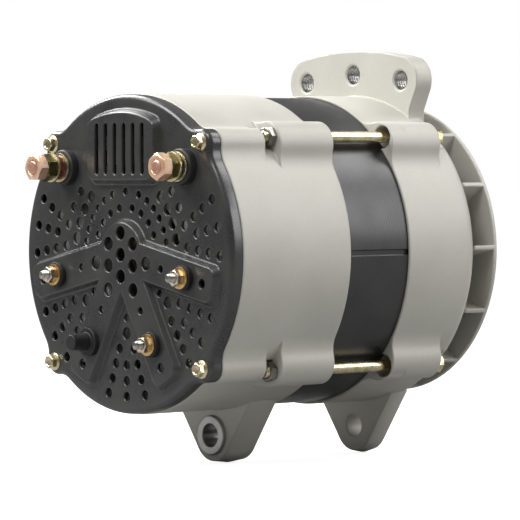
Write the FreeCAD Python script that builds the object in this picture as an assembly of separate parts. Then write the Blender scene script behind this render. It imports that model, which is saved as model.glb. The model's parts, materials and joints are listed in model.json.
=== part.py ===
import FreeCAD, Part
import math
import os

# A heavy-duty hinge-mounted alternator for a generator set, in millimetres.
# x runs along the shaft towards the drive end, z is up, and x = 0 is the face that the pulley seats against.

# Castings
housing_r = 88.4            # outside radius of both end housings
housing_wall = 5.4          # wall of both end housings
housing_lip = 1.4           # how far the housings stand out over the stator core
rear_housing_length = 78.5
drive_housing_length = 54.0
drive_shoulder = 8.0        # rounding between the drive housing's side and its end
drive_end_wall = 5.0
web_thickness = 6.0         # bearing wall inside the rear housing
web_depth = 41.5            # from the rear housing's rim to that wall
web_window_rib = 7.0        # solid ring round the bearing boss, inside the windows
web_window_height = 24.0
web_window_half_angle = 15.0
end_window_rib = 5.0        # the same in the drive housing's end wall
end_window_margin = 8.0
end_windows = 8
end_window_half_angle = 16.0
register_depth = 2.5        # how far each housing grips the stator core
register_clearance = 0.05

# Rear cover
cover_depth = 8.5
cover_wall = 2.0
cover_inset = 0.4           # step between the housing's side and the cover
cover_edge = 3.0            # rounding of the cover's front edge
lobe_angle = 44.0           # screw lobes and through bolts, from the horizontal
lobe_r = 8.0
lobe_blend = 14.0
lobe_inset = 1.0            # lobe centres inside the cover's edge
pad_margin = 0.4            # the casting's screw pads stand out round the cover's lobes
cover_screw_r = 2.5
cover_screw_play = 0.2
cover_post_r = 5.8
cover_screw_grip = 12.0
cover_screw_flange_r = 5.0
cover_screw_flange = 1.0
cover_screw_across = 7.0
cover_screw_head = 3.5
face_margin = 10.0          # from the cover's edge to the hood and to the arms' ends

# Louvre hood of the cover
hood_rise = 4.4
hood_half_width = 28.5
hood_bottom = 41.0
hood_slope = 3.0            # how much wider the foot is than the raised face
hood_corner = 7.0
hood_slots = 6
hood_slot_pitch = 7.8
hood_slot_width = 3.0
hood_slot_low = 43.9
hood_slot_high = 72.3

# Star of four raised arms on the cover
star_rise = 4.0
star_hub_r = 17.5
star_arm_half_width = 9.5
star_slope = 2.5
star_corner = 5.0
arm_angles = (-12.3, -61.2, -118.8, -167.7)

# Ventilation holes of the cover
row_pitch = 8.7
outer_row_inset = 9.7       # from the cover's edge to the outermost row
vent_d = 5.3
big_vent_d = 6.5
small_vent_d = 4.2
hub_vent_d = 7.5
hub_vent_circle = 12.0
arm_vent_circle = 22.0      # one more large hole at the root of each arm
sector_angles = (11.5, -36.5, -90.0, -143.5, 168.5)

# Stator
visible_core = 45.0         # core left open between the housings
core_thickness = 29.0       # from the core's outside to its bore
slot_count = 36
slot_width = 5.4
slot_depth = 16.0
winding_overhang = 16.0
winding_clearance = 0.1
seam_depth = 1.2
seam_width = 3.0

# Rotor
air_gap = 0.6
rotor_length = 66.0
pole_disc = 14.0
pole_hub_r = 22.0
pole_pairs = 8
claw_root_half = 9.4
claw_tip_half = 4.5
claw_root_depth = 12.5
claw_tip_depth = 6.0
claw_tip_setback = 5.0
shaft_core_r = 15.0
coil_gap = 3.4              # between the field coil and the claws
bobbin_wall = 1.6
bobbin_clearance = 0.3

# Shaft
fan_seat_r = 11.5           # under the fan and its spacer
seat_r = 11.1               # under the pulley
seat_length = 32.0
seat_chamfer = 0.6
thread_r = 9.5
thread_length = 21.0
thread_neck = 3.0
thread_neck_depth = 1.2
thread_chamfer = 1.5
keyway_width = 4.8
keyway_depth = 2.4
keyway_length = 22.0
centre_hole_r = 2.5
centre_hole_depth = 6.0

# Drive-end ball bearing, 25 x 62 x 17
front_bore_r = 12.5
front_outer_r = 31.0
front_width = 17.0
ball_r = 5.75
ball_count = 7
race_play = 0.15
seal_thickness = 1.2
boss_wall = 10.0
front_lip = 3.0             # housing left in front of the bearing
retainer_thickness = 4.0
retainer_bore_r = 24.0
retainer_screw_count = 3
retainer_screw_inset = 5.0
retainer_inset = 1.0        # plate's rim inside the boss

# Slip-ring-end roller bearing, 17 x 40 x 12
rear_bore_r = 8.5
rear_outer_r = 20.0
rear_width = 12.0
roller_r = 3.3
roller_length = 7.0
roller_count = 10
rear_boss_wall = 7.0
rear_lip = 2.0
rear_shoulder = 3.0         # step that the bearing's outer race seats against
rear_bearing_stand = 2.0    # how far the bearing reaches past the wall

# Slip rings and brushes
ring_r = 16.0
ring_wall = 3.0
ring_width = 8.0
ring_gap = 4.0
ring_start = 8.0            # from the rear bearing to the first ring
brush_size = (6.0, 9.0, 16.0)
brush_slack = 0.2
brush_gap = 0.1
holder_wall = 2.4
holder_cap = 2.5
holder_spring_room = 8.0
holder_foot = 5.0
holder_foot_half_height = 6.0
holder_pad_wall = 3.2       # casting round the holder's screws
holder_pad_gap = 1.5        # between the holder's box and its screw heads
spring_wire = 0.7
spring_r = 2.2
spring_turns = 5

# Rectifier and regulator
sink_thickness = 8.0
sink_inset = 1.5            # from the housing's rim to the outer face of the sinks
sink_inner_r = 34.0
sink_gap = 4.0              # between the heat sinks and the housing's inside
sink_span = (-75.0, 62.0)
sink_pillar_r = 5.0
sink_pillar_inset = 5.5
sink_pillar_angles = (8.0, -52.0)
sink_insulator_r = 6.0
sink_insulator_thickness = 2.0
sink_sleeve_wall = 1.5
sink_cap_thickness = 1.0
diode_r = 6.35
diode_inset = 25.0          # from the heat sink's rim to the diodes
diode_angles = (28.0, -16.0, -60.0)
diode_stand = 4.0
diode_lead_r = 0.9
diode_lead = 6.0
small_screw_r = 2.0
small_screw_head_r = 3.8
small_screw_head = 3.0
small_screw_grip = 8.0
small_screw_play = 0.2
regulator_size = (10.0, 50.0, 24.0)
regulator_inset = 17.0      # from the hood's arch down to the regulator's middle
regulator_stand = 4.0       # how far it reaches into the cover
regulator_screw_offset = 19.0
regulator_corner = 2.0

# Power terminals
stud_r = 4.0
stud_inset = 18.4           # from the cover's edge to the power studs
stud_angle = 43.6
insulator_r = 10.0
insulator_rise = 5.0
insulator_sleeve_r = 7.0
washer_r = 8.2
washer_thickness = 1.6
spacer_r = 7.0
positive_spacer = 4.4
negative_spacer = 1.9
positive_lock_nut = 6.0
negative_lock_nut = 4.0
power_nut_across = 13.3
power_nut_height = 6.4
stud_tip = 0.5
stud_head_height = 3.5
stud_head_margin = 2.5      # flat head outside the stud, across its flats
insulator_edge = 1.2

# Small terminals, one on each of three arms, and the cap on the fourth
small_stud_r = 2.4
small_terminal_inset = 32.4
small_boss_r = 7.0
small_boss_rise = 3.0
small_boss_sleeve_r = 4.0
small_washer_r = 6.1
small_washer_thickness = 1.2
small_nut_across = 8.0
small_nut_height = 4.3
small_stud_tip = 4.0
small_backing = 1.5         # insulator behind the cover
small_stud_head = 2.5
small_stud_head_r = 5.5
cap_base_r = 8.0
cap_base_rise = 3.0
cap_stub_r = 5.0
cap_stub_length = 11.0
cap_plug_r = 4.0
cap_plug_stand = 2.0
cap_taper = 0.8

# Fan
fan_r = 83.3
fan_disc = 2.4
fan_setback = 4.0           # from the pulley face back to the fan's disc
fan_hub_length = 13.0
fan_hub_r = 21.0
fan_blades = 14
fan_blade_depth = 15.6
fan_blade_thickness = 2.4
fan_blade_inner_r = 46.0
fan_blade_lean = 10.0
fan_first_blade = 9.0
fan_spacer_play = 1.5       # between the spacer and the housing's bore
fan_running_gap = 2.0
fan_spacer_r = 17.0

# Through bolts
bolt_r = 3.2
bolt_stand = 3.8            # bolt circle outside the housing's side
bolt_hole_clearance = 0.3
bolt_head_across = 10.0
bolt_head_height = 6.0
bolt_nut_height = 4.5
bolt_tip = 1.5
bolt_boss_lobe_r = 12.5
bolt_boss_inset = 1.9
bolt_boss_blend = 14.0
rear_pad_length = 31.5      # screw pad behind the cover
rear_notch = 8.0            # open pocket between the pad and the bolt boss
drive_boss_length = 37.5
wrench_clearance = 0.9
pocket_depth = 12.0
pocket_wall = 6.0

# Hinge and adjusting ear
hinge_stand = 14.4          # hinge axis outside the housing's side
hinge_hole_r = 6.5
lug_eye_r = 15.8
lug_root_half_width = 33.0
lug_root_inset = 6.4        # where the lugs' straight sides meet the casting
lug_draft = 1.2             # how much the sides fall in from the parting line to each face
rear_lug_thickness = 20.5
rear_lug_setback = 4.0      # from the rear housing's open end
drive_lug_thickness = 12.5
drive_lug_setback = 2.0     # from the drive housing's end face
bushing_r = 11.0
bushing_fit = 0.03
bushing_stand = 2.0
ear_thickness = 12.0
ear_hole_stand = 12.4       # middle tapped hole outside the housing's side
ear_hole_spread = 11.2      # degrees between them, seen from the hinge
ear_hole_r = 5.35
ear_chamfer = 1.0
ear_margin = 13.8
ear_neck_half_width = 47.0
ear_neck_inset = 8.4
ear_end_angle = 25.0        # where each round end runs into the neck

# Radii worked out from the sizes above
inner_r = housing_r - housing_wall
core_r = housing_r - housing_lip
core_bore_r = core_r - core_thickness
rotor_r = core_bore_r - air_gap
pole_disc_r = rotor_r - claw_root_depth
coil_r = pole_disc_r - coil_gap
cover_r = housing_r - cover_inset
lobe_circle = cover_r - lobe_inset
cover_screw_circle = cover_r
hood_top_r = cover_r - face_margin
star_arm_end = cover_r - face_margin
small_terminal_circle = cover_r - small_terminal_inset
stud_circle = cover_r - stud_inset
regulator_height = hood_top_r - regulator_inset
sink_outer_r = inner_r - sink_gap
sink_pillar_circle = sink_outer_r - sink_pillar_inset
diode_circle = sink_outer_r - diode_inset
boss_r = front_outer_r + boss_wall
bolt_circle = housing_r + bolt_stand
bolt_boss_circle = housing_r - bolt_boss_inset
wrench_r = bolt_head_across / math.sqrt(3) + wrench_clearance
pocket_r = bolt_boss_lobe_r - pocket_wall
hinge_drop = housing_r + hinge_stand
lug_root_drop = housing_r - lug_root_inset
ear_hole_reach = hinge_drop + housing_r + ear_hole_stand
ear_neck_height = housing_r - ear_neck_inset

# Stations along the shaft
disc_x = -fan_setback - fan_disc
blade_x = disc_x - fan_blade_depth
drive_end_x = blade_x - fan_running_gap
drive_rim_x = drive_end_x - drive_housing_length
rear_rim_x = drive_rim_x - visible_core
rear_end_x = rear_rim_x - rear_housing_length
cover_x = rear_end_x - cover_depth
core_x0 = rear_rim_x - register_depth
core_x1 = drive_rim_x + register_depth
core_mid_x = (core_x0 + core_x1) / 2
web_x0 = rear_end_x + web_depth
web_x1 = web_x0 + web_thickness
front_bearing_x1 = drive_end_x - front_lip
front_bearing_x0 = front_bearing_x1 - front_width
rear_bearing_x1 = web_x1 + rear_bearing_stand
rear_bearing_x0 = rear_bearing_x1 - rear_width
rear_boss_face_x = rear_bearing_x0 - rear_lip
retainer_x0 = front_bearing_x0 - retainer_thickness
rotor_x0 = core_mid_x - rotor_length / 2
rotor_x1 = core_mid_x + rotor_length / 2
inner_ring_x1 = rear_bearing_x0 - ring_start
inner_ring_x0 = inner_ring_x1 - ring_width
outer_ring_x1 = inner_ring_x0 - ring_gap
outer_ring_x0 = outer_ring_x1 - ring_width
shaft_x0 = outer_ring_x0 - 2.5
sink_x0 = rear_end_x + sink_inset
sink_x1 = sink_x0 + sink_thickness
lobe_angles = (lobe_angle, 180 - lobe_angle, 180 + lobe_angle, -lobe_angle)
pad_x1 = rear_end_x + rear_pad_length
rear_boss_x0 = pad_x1 + rear_notch
drive_boss_x1 = drive_rim_x + drive_boss_length
axis_x = FreeCAD.Vector(1, 0, 0)
origin = FreeCAD.Vector(0, 0, 0)


def point(x, y, z):
    return FreeCAD.Vector(x, y, z)


def polar(radius, degrees):
    """y and z of a point at this radius, counted from +y towards +z."""
    a = math.radians(degrees)
    return radius * math.cos(a), radius * math.sin(a)


def rod(x0, x1, radius, y=0.0, z=0.0):
    return Part.makeCylinder(radius, x1 - x0, point(x0, y, z), axis_x)


def tube(x0, x1, outer, inner, y=0.0, z=0.0):
    return rod(x0, x1, outer, y, z).cut(rod(x0 - 1, x1 + 1, inner, y, z))


def block(x0, x1, y0, y1, z0, z1):
    return Part.makeBox(x1 - x0, y1 - y0, z1 - z0, point(x0, y0, z0))


def turned(profile):
    """A solid of revolution about the shaft from a closed profile of (x, radius) corners."""
    corners = [point(x, 0, r) for x, r in profile]
    face = Part.Face(Part.makePolygon(corners + corners[:1]))
    return face.revolve(origin, axis_x, 360)


def hexagon(x0, x1, across, y=0.0, z=0.0, turn=30.0):
    corners = []
    for i in range(6):
        dy, dz = polar(across / math.sqrt(3), turn + 60 * i)
        corners.append(point(x0, y + dy, z + dz))
    return Part.Face(Part.makePolygon(corners + corners[:1])).extrude(point(x1 - x0, 0, 0))


def nut(x0, x1, across, bore, y, z):
    """A hexagon nut with its corners turned down to a cone at the outer face."""
    body = hexagon(x0, x1, across, y, z)
    corner_r = across / math.sqrt(3)
    drop = corner_r - across / 2
    cone = Part.makeCone(across / 2, corner_r + drop, 2 * drop, point(x0, y, z), axis_x)
    body = body.common(cone.fuse(rod(x0 + 2 * drop, x1, corner_r + drop, y, z)))
    return body.cut(rod(x0 - 1, x1 + 1, bore, y, z))


def arc(a, b, c):
    return Part.Arc(a, b, c).toShape()


def line(a, b):
    return Part.LineSegment(a, b).toShape()


def sector(x0, x1, inner, outer, start, end):
    """Part of a flat ring between two radii and two angles."""
    def at(radius, degrees):
        return point(x0, *polar(radius, degrees))
    middle = (start + end) / 2
    wire = Part.Wire([
        arc(at(outer, start), at(outer, middle), at(outer, end)),
        line(at(outer, end), at(inner, end)),
        arc(at(inner, end), at(inner, middle), at(inner, start)),
        line(at(inner, start), at(outer, start))])
    return Part.Face(wire).extrude(point(x1 - x0, 0, 0))


def lobed(x0, x1, radius, lobe_circle, lobe_radius, blend):
    """A round slab with a lobe at each screw position, joined to the rim by hollow blends."""
    reach = radius + blend
    touch = lobe_radius + blend
    cosine = (lobe_circle ** 2 + reach ** 2 - touch ** 2) / (2 * lobe_circle * reach)
    spread = math.degrees(math.acos(cosine))
    angles = sorted(a % 360 for a in lobe_angles)
    edges = []
    for i, angle in enumerate(angles):
        lobe = point(x0, *polar(lobe_circle, angle))
        ends = []
        for side in (-1, 1):
            hollow = point(x0, *polar(reach, angle + side * spread))
            on_rim = point(x0, *polar(radius, angle + side * spread))
            on_lobe = lobe + (hollow - lobe) * (lobe_radius / touch)
            towards = (on_rim + on_lobe) / 2 - hollow
            towards.normalize()
            ends.append((on_rim, hollow + towards * blend, on_lobe))
        tip = point(x0, *polar(lobe_circle + lobe_radius, angle))
        edges.append(arc(*ends[0]))
        edges.append(arc(ends[0][2], tip, ends[1][2]))
        edges.append(arc(ends[1][2], ends[1][1], ends[1][0]))
        following = angles[(i + 1) % len(angles)] + (360 if i + 1 == len(angles) else 0)
        start = point(x0, *polar(radius, angle + spread))
        middle = point(x0, *polar(radius, (angle + following) / 2))
        end = point(x0, *polar(radius, following - spread))
        edges.append(arc(start, middle, end))
    return Part.Face(Part.Wire(edges)).extrude(point(x1 - x0, 0, 0))


def at_lobes(radius):
    return [polar(radius, a) for a in lobe_angles]


def edges_at(shape, x):
    """Edges that lie in the plane across the shaft at x."""
    near = 0.01
    return [e for e in shape.Edges if abs(e.BoundBox.XMin - x) < near and abs(e.BoundBox.XMax - x) < near]


def ruled(first, second):
    return Part.makeLoft([first, second], True, True)


def arm_wire(x, end, half_width, corner, angle):
    """Outline of one star arm from the shaft's axis to its rounded end."""
    a = math.radians(angle)

    def at(along, across):
        y = along * math.cos(a) - across * math.sin(a)
        z = along * math.sin(a) + across * math.cos(a)
        return point(x, y, z)
    bend = corner * (1 - math.sqrt(0.5))
    flat = half_width - corner
    low = arc(at(end - corner, -half_width), at(end - bend, bend - half_width), at(end, -flat))
    high = arc(at(end, flat), at(end - bend, half_width - bend), at(end - corner, half_width))
    return Part.Wire([
        line(at(0, -half_width), at(end - corner, -half_width)), low,
        line(at(end, -flat), at(end, flat)), high,
        line(at(end - corner, half_width), at(0, half_width)),
        line(at(0, half_width), at(0, -half_width))])


def star(x_top, x_foot, offset):
    """The raised star, or its hollow inside when the offset is negative."""
    foot = star_slope + offset
    body = Part.makeCone(star_hub_r + offset, star_hub_r + foot, x_foot - x_top, point(x_top, 0, 0), axis_x)
    for angle in arm_angles:
        top_wire = arm_wire(x_top, star_arm_end + offset, star_arm_half_width + offset, star_corner, angle)
        foot_wire = arm_wire(x_foot, star_arm_end + foot, star_arm_half_width + foot, star_corner + 1, angle)
        body = body.fuse(ruled(top_wire, foot_wire))
    return body


def hood_wire(x, spread):
    """Outline of the louvre hood: straight foot and sides under an arch that follows the cover's rim."""
    half = hood_half_width + spread
    low = hood_bottom - spread
    top = hood_top_r + spread
    c = hood_corner
    shoulder_z = math.sqrt((top - c) ** 2 - (half - c) ** 2)
    reach = math.atan2(shoulder_z, half - c)
    bend = c * (1 - math.sqrt(0.5))

    def at(y, z):
        return point(x, y, z)

    def corner_points(side):
        middle = reach / 2
        return (at(side * half, shoulder_z),
                at(side * (half - c + c * math.cos(middle)), shoulder_z + c * math.sin(middle)),
                at(side * top * math.cos(reach), top * math.sin(reach)))
    right = corner_points(1)
    left = corner_points(-1)
    return Part.Wire([
        line(at(-half + c, low), at(half - c, low)),
        arc(at(half - c, low), at(half - bend, low + bend), at(half, low + c)),
        line(at(half, low + c), right[0]), arc(*right),
        arc(right[2], at(0, top), left[2]), arc(*left[::-1]),
        line(left[0], at(-half, low + c)),
        arc(at(-half, low + c), at(-half + bend, low + bend), at(-half + c, low))])


def vents():
    """Every round hole in the cover as (y, z, diameter)."""
    outer_row = cover_r - outer_row_inset
    rows = [outer_row - row_pitch * i for i in range(6)]
    spreads = ((-11.5, 0, 11.5), (-10.2, 0, 10.2), (-8.8, 0, 8.8), (-6.7, 6.7), (0,), (0,))
    sizes = (vent_d, vent_d, vent_d, vent_d, big_vent_d, small_vent_d)
    found = []
    for sector_angle in sector_angles:
        for radius, spread, size in zip(rows, spreads, sizes):
            found += [(*polar(radius, sector_angle + a), size) for a in spread]
    upper = ((rows[5], small_vent_d, (23.1, 35.2, 46.9, 58.5, 71.2)),
             (rows[5] - row_pitch, small_vent_d, (24.5, 42, 60, 78)),
             (rows[4], big_vent_d, (23.5, 35, 47)),
             (rows[3], vent_d, (30, 41.7)))
    for radius, size, angles in upper:
        for a in angles:
            found += [(*polar(radius, a), size), (*polar(radius, 180 - a), size)]
    found.append((0, rows[5], small_vent_d))
    for a in arm_angles:
        found.append((*polar(rows[5], a), small_vent_d))
        found.append((*polar(rows[1], a), vent_d))
    found.append((0, 0, hub_vent_d))
    for i in range(6):
        found.append((*polar(hub_vent_circle, 90 + 60 * i), hub_vent_d))
    for a in arm_angles:
        found.append((*polar(arm_vent_circle, a), hub_vent_d))
    return found


def small_terminals():
    """Places of the three small terminals on the star's arms."""
    return [polar(small_terminal_circle, arm_angles[i]) for i in (0, 3, 2)]


def cap_place():
    return polar(small_terminal_circle, arm_angles[1])


def power_terminal(side):
    y, z = polar(stud_circle, stud_angle)
    return side * y, z


def power_terminals():
    return [power_terminal(1), power_terminal(-1)]


def rear_cover():
    """Perforated cup with a louvre hood and a raised star, as one moulding."""
    outer = lobed(cover_x, rear_end_x, cover_r, lobe_circle, lobe_r, lobe_blend)
    outer = outer.makeFillet(cover_edge, edges_at(outer, cover_x))
    inner = lobed(cover_x + cover_wall, rear_end_x + 1, cover_r - cover_wall, lobe_circle,
                  lobe_r - cover_wall, lobe_blend + cover_wall)
    hood = ruled(hood_wire(cover_x - hood_rise, 0), hood_wire(cover_x + 1, hood_slope))
    hood_hollow = ruled(hood_wire(cover_x - hood_rise + cover_wall, -cover_wall),
                        hood_wire(cover_x + cover_wall + 1, hood_slope - cover_wall))
    raised = star(cover_x - star_rise, cover_x + 1, 0)
    star_hollow = star(cover_x - star_rise + cover_wall, cover_x + cover_wall + 1, -cover_wall)
    shell = outer.fuse([hood, raised]).cut([inner, hood_hollow, star_hollow])
    posts = []
    for y, z in at_lobes(cover_screw_circle):
        posts.append(rod(cover_x + cover_wall - 0.5, rear_end_x, cover_post_r, y, z))
    shell = shell.fuse(posts)
    cuts = [rod(cover_x - 6, cover_x + 6, d / 2, y, z) for y, z, d in vents()]
    for y, z in at_lobes(cover_screw_circle):
        cuts.append(rod(cover_x - 1, rear_end_x + 1, cover_screw_r + cover_screw_play, y, z))
    for i in range(hood_slots):
        y = (i - (hood_slots - 1) / 2) * hood_slot_pitch
        half = hood_slot_width / 2
        ends = (hood_slot_low + half, hood_slot_high - half)
        cuts.append(block(cover_x - 6, cover_x + 3, y - half, y + half, *ends))
        cuts += [rod(cover_x - 6, cover_x + 3, half, y, z) for z in ends]
    for y, z in power_terminals():
        cuts.append(rod(cover_x - 1, cover_x + 4, insulator_sleeve_r + 0.1, y, z))
    for y, z in small_terminals() + [cap_place()]:
        cuts.append(rod(cover_x - 6, cover_x + 4, small_boss_sleeve_r + 0.1, y, z))
    return shell.cut(cuts)


def flange_screw(x0, x1, radius, y, z):
    """Cover screw: hexagon head on a flange, with its shank along +x."""
    flange = rod(x0 - cover_screw_flange, x0, cover_screw_flange_r, y, z)
    head_x1 = x0 - cover_screw_flange
    head = hexagon(head_x1 - cover_screw_head, head_x1, cover_screw_across, y, z)
    return flange.fuse([head, rod(x0, x1, radius, y, z)])


def cap_screw(x0, x1, y, z):
    """Small round-headed screw: the head lies outside x0, and the shank runs to x1."""
    head = rod(x0 - small_screw_head, x0, small_screw_head_r, y, z)
    return head.fuse(rod(x0, x1, small_screw_r, y, z))


def cover_screws():
    end = rear_end_x + cover_screw_grip
    return [flange_screw(cover_x, end, cover_screw_r, y, z) for y, z in at_lobes(cover_screw_circle)]


def lug_wire(x, inset):
    """Outline of a hinge lug: an eye round the hinge axis, widening in straight tangents to its root."""
    half_width = lug_root_half_width - inset
    eye = lug_eye_r - inset
    drop = hinge_drop - lug_root_drop
    tangent = math.atan2(drop, half_width) - math.acos(eye / math.hypot(half_width, drop))
    y1 = eye * math.cos(tangent)
    z1 = -hinge_drop + eye * math.sin(tangent)
    root = -housing_r + 2 * housing_wall

    def at(y, z):
        return point(x, y, z)
    return Part.Wire([
        line(at(half_width, root), at(half_width, -lug_root_drop)),
        line(at(half_width, -lug_root_drop), at(y1, z1)),
        arc(at(y1, z1), at(0, -hinge_drop - eye), at(-y1, z1)),
        line(at(-y1, z1), at(-half_width, -lug_root_drop)),
        line(at(-half_width, -lug_root_drop), at(-half_width, root)),
        line(at(-half_width, root), at(half_width, root))])


def lug(x0, x1):
    """Hinge lug, drafted to both faces from a parting line at half its thickness."""
    middle = (x0 + x1) / 2
    rear_half = ruled(lug_wire(x0, lug_draft), lug_wire(middle, 0))
    return rear_half.fuse(ruled(lug_wire(middle, 0), lug_wire(x1, lug_draft)))


def web_pillars():
    """(y, z, end x) of the pillars that carry the heat sinks and the regulator."""
    found = []
    for angle in sink_pillar_angles:
        found.append((*polar(sink_pillar_circle, angle), sink_x1 + sink_insulator_thickness))
        found.append((*polar(sink_pillar_circle, 180 - angle), sink_x1))
    found += [(y, z, regulator_x()[1]) for y, z in regulator_screw_places()]
    return found


def regulator_x():
    x0 = rear_end_x - regulator_stand
    return x0, x0 + regulator_size[0]


def holder_pads():
    return [(-brush_holder_reach(), holder_z()), (brush_holder_reach(), holder_z())]


def brush_holder_reach():
    return brush_size[1] / 2 + holder_wall + small_screw_head_r + holder_pad_gap


def holder_z():
    return rear_outer_r + rear_boss_wall + small_screw_r + 4.0


def rear_housing():
    """Slip-ring-end casting: rim, screw pads, bolt bosses, bearing wall, hinge lug and inner pillars."""
    skin = rod(rear_end_x, rear_rim_x, housing_r)
    pads = lobed(rear_end_x, pad_x1, housing_r, lobe_circle, lobe_r + pad_margin, lobe_blend)
    bosses = lobed(rear_boss_x0, rear_rim_x, housing_r, bolt_boss_circle, bolt_boss_lobe_r, bolt_boss_blend)
    lug_x1 = rear_rim_x - rear_lug_setback
    body = skin.fuse([pads, bosses, lug(lug_x1 - rear_lug_thickness, lug_x1)])
    cavity = [rod(rear_end_x - 1, web_x0, inner_r), rod(web_x1, core_x0, inner_r),
              rod(core_x0, rear_rim_x + 1, core_r + register_clearance)]
    body = body.cut(cavity)
    boss = rod(rear_boss_face_x, rear_bearing_x1, rear_outer_r + rear_boss_wall)
    pillars = [rod(x, web_x0 + 1, sink_pillar_r, y, z) for y, z, x in web_pillars()]
    pad_r = small_screw_r + holder_pad_wall
    pads = [rod(rear_boss_face_x, web_x0 + 1, pad_r, y, z) for y, z in holder_pads()]
    body = body.fuse([boss] + pillars + pads)
    cuts = [rod(rear_bearing_x0, rear_bearing_x1 + 1, rear_outer_r),
            rod(rear_boss_face_x - 1, rear_bearing_x1, rear_outer_r - rear_shoulder)]
    for angle in (22.5, -22.5, -67.5, -112.5, -157.5, 157.5):
        inner = rear_outer_r + rear_boss_wall + web_window_rib
        outer = inner + web_window_height
        half = web_window_half_angle
        cuts.append(sector(web_x0 - 1, web_x1 + 1, inner, outer, angle - half, angle + half))
    for y, z in at_lobes(cover_screw_circle):
        cuts.append(rod(rear_end_x - 1, rear_end_x + cover_screw_grip + 2, cover_screw_r, y, z))
    for y, z in at_lobes(bolt_circle):
        cuts.append(rod(rear_boss_x0 - 1, rear_rim_x + 1, bolt_r + bolt_hole_clearance, y, z))
        cuts.append(rod(pad_x1, rear_boss_x0, wrench_r, y, z))
    for y, z, x in web_pillars():
        cuts.append(rod(x - 1, x + small_screw_grip + 2, small_screw_r, y, z))
    for y, z in holder_pads():
        cuts.append(rod(rear_boss_face_x - 1, rear_bearing_x0 + small_screw_grip, small_screw_r, y, z))
    cuts.append(rod(lug_x1 - rear_lug_thickness - 1, lug_x1 + 1, bushing_r + bushing_fit, 0, -hinge_drop))
    return body.cut(cuts)


def ear_holes():
    found = []
    for i in (-1, 0, 1):
        a = math.radians(i * ear_hole_spread)
        found.append((ear_hole_reach * math.sin(a), ear_hole_reach * math.cos(a) - hinge_drop))
    return found


def ear(x0, x1):
    """Adjusting ear: a band on an arc about the hinge axis, with round ends and a narrower neck."""
    end_y, end_z = ear_holes()[2]
    lift = math.degrees(math.atan2(end_y, end_z + hinge_drop))
    top = ear_hole_reach + ear_margin

    def on_top(degrees):
        a = math.radians(degrees)
        return point(x0, top * math.sin(a), top * math.cos(a) - hinge_drop)

    def on_end(side, degrees):
        a = math.radians(degrees)
        return point(x0, side * (end_y + ear_margin * math.cos(a)), end_z + ear_margin * math.sin(a))
    neck = [point(x0, side * ear_neck_half_width, ear_neck_height) for side in (1, -1)]
    base = housing_r - 3 * housing_wall
    wire = Part.Wire([
        arc(on_top(-lift), on_top(0), on_top(lift)),
        arc(on_top(lift), on_end(1, 30), on_end(1, -ear_end_angle)),
        line(on_end(1, -ear_end_angle), neck[0]),
        line(neck[0], point(x0, ear_neck_half_width, base)),
        line(point(x0, ear_neck_half_width, base), point(x0, -ear_neck_half_width, base)),
        line(point(x0, -ear_neck_half_width, base), neck[1]),
        line(neck[1], on_end(-1, -ear_end_angle)),
        arc(on_end(-1, -ear_end_angle), on_end(-1, 30), on_top(-lift))])
    return Part.Face(wire).extrude(point(x1 - x0, 0, 0))


def drive_housing():
    """Drive-end casting: rim, bolt bosses, bearing boss, windowed end wall, hinge lug and adjusting ear."""
    skin = rod(drive_rim_x, drive_end_x, housing_r)
    skin = skin.makeFillet(drive_shoulder, edges_at(skin, drive_end_x))
    bosses = lobed(drive_rim_x, drive_boss_x1, housing_r, bolt_boss_circle, bolt_boss_lobe_r,
                   bolt_boss_blend)
    mount_x1 = drive_end_x - drive_lug_setback
    hinge = lug(mount_x1 - drive_lug_thickness, mount_x1)
    body = skin.fuse([bosses, hinge, ear(mount_x1 - ear_thickness, mount_x1)])
    end_wall_x = drive_end_x - drive_end_wall
    cavity = [rod(drive_rim_x - 1, core_x1, core_r + register_clearance), rod(core_x1, end_wall_x, inner_r)]
    body = body.cut(cavity)
    body = body.fuse(rod(front_bearing_x0, drive_end_x, boss_r))
    cuts = [rod(front_bearing_x0 - 1, front_bearing_x1, front_outer_r),
            rod(front_bearing_x1 - 1, drive_end_x + 1, fan_spacer_r + fan_spacer_play)]
    window = (boss_r + end_window_rib, inner_r - end_window_margin)
    for i in range(end_windows):
        angle = 360 / end_windows * i
        low = angle - end_window_half_angle
        high = angle + end_window_half_angle
        cuts.append(sector(end_wall_x - 1, drive_end_x + 1, *window, low, high))
    for y, z in at_lobes(bolt_circle):
        cuts.append(rod(drive_rim_x - 1, drive_boss_x1 + 1, bolt_r + bolt_hole_clearance, y, z))
        cuts.append(rod(drive_boss_x1, drive_end_x + 1, wrench_r, y, z))
        cuts.append(rod(drive_rim_x - 1, drive_rim_x + pocket_depth, pocket_r, y, z))
    mouth_r = ear_hole_r + ear_chamfer
    for y, z in ear_holes():
        cuts.append(rod(mount_x1 - ear_thickness - 1, mount_x1 + 1, ear_hole_r, y, z))
        for x, sign in ((mount_x1 - ear_thickness, 1), (mount_x1, -1)):
            cuts.append(Part.makeCone(mouth_r, ear_hole_r, ear_chamfer, point(x, y, z), axis_x * sign))
    for y, z in retainer_screw_places():
        cuts.append(rod(front_bearing_x0 - 1, front_bearing_x0 + small_screw_grip + 1, small_screw_r, y, z))
    cuts.append(rod(mount_x1 - drive_lug_thickness - 1, mount_x1 + 1, hinge_hole_r, 0, -hinge_drop))
    return body.cut(cuts)


def retainer_screw_places():
    step = 360 / retainer_screw_count
    return [polar(boss_r - retainer_screw_inset, 90 + step * i) for i in range(retainer_screw_count)]


def bearing_retainer():
    """Flat ring that holds the ball bearing in its boss."""
    plate = tube(retainer_x0, front_bearing_x0, boss_r - retainer_inset, retainer_bore_r)
    hole = small_screw_r + small_screw_play
    holes = [rod(retainer_x0 - 1, front_bearing_x0 + 1, hole, y, z) for y, z in retainer_screw_places()]
    return plate.cut(holes)


def retainer_screws():
    end = front_bearing_x0 + small_screw_grip
    return [cap_screw(retainer_x0, end, y, z) for y, z in retainer_screw_places()]


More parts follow.
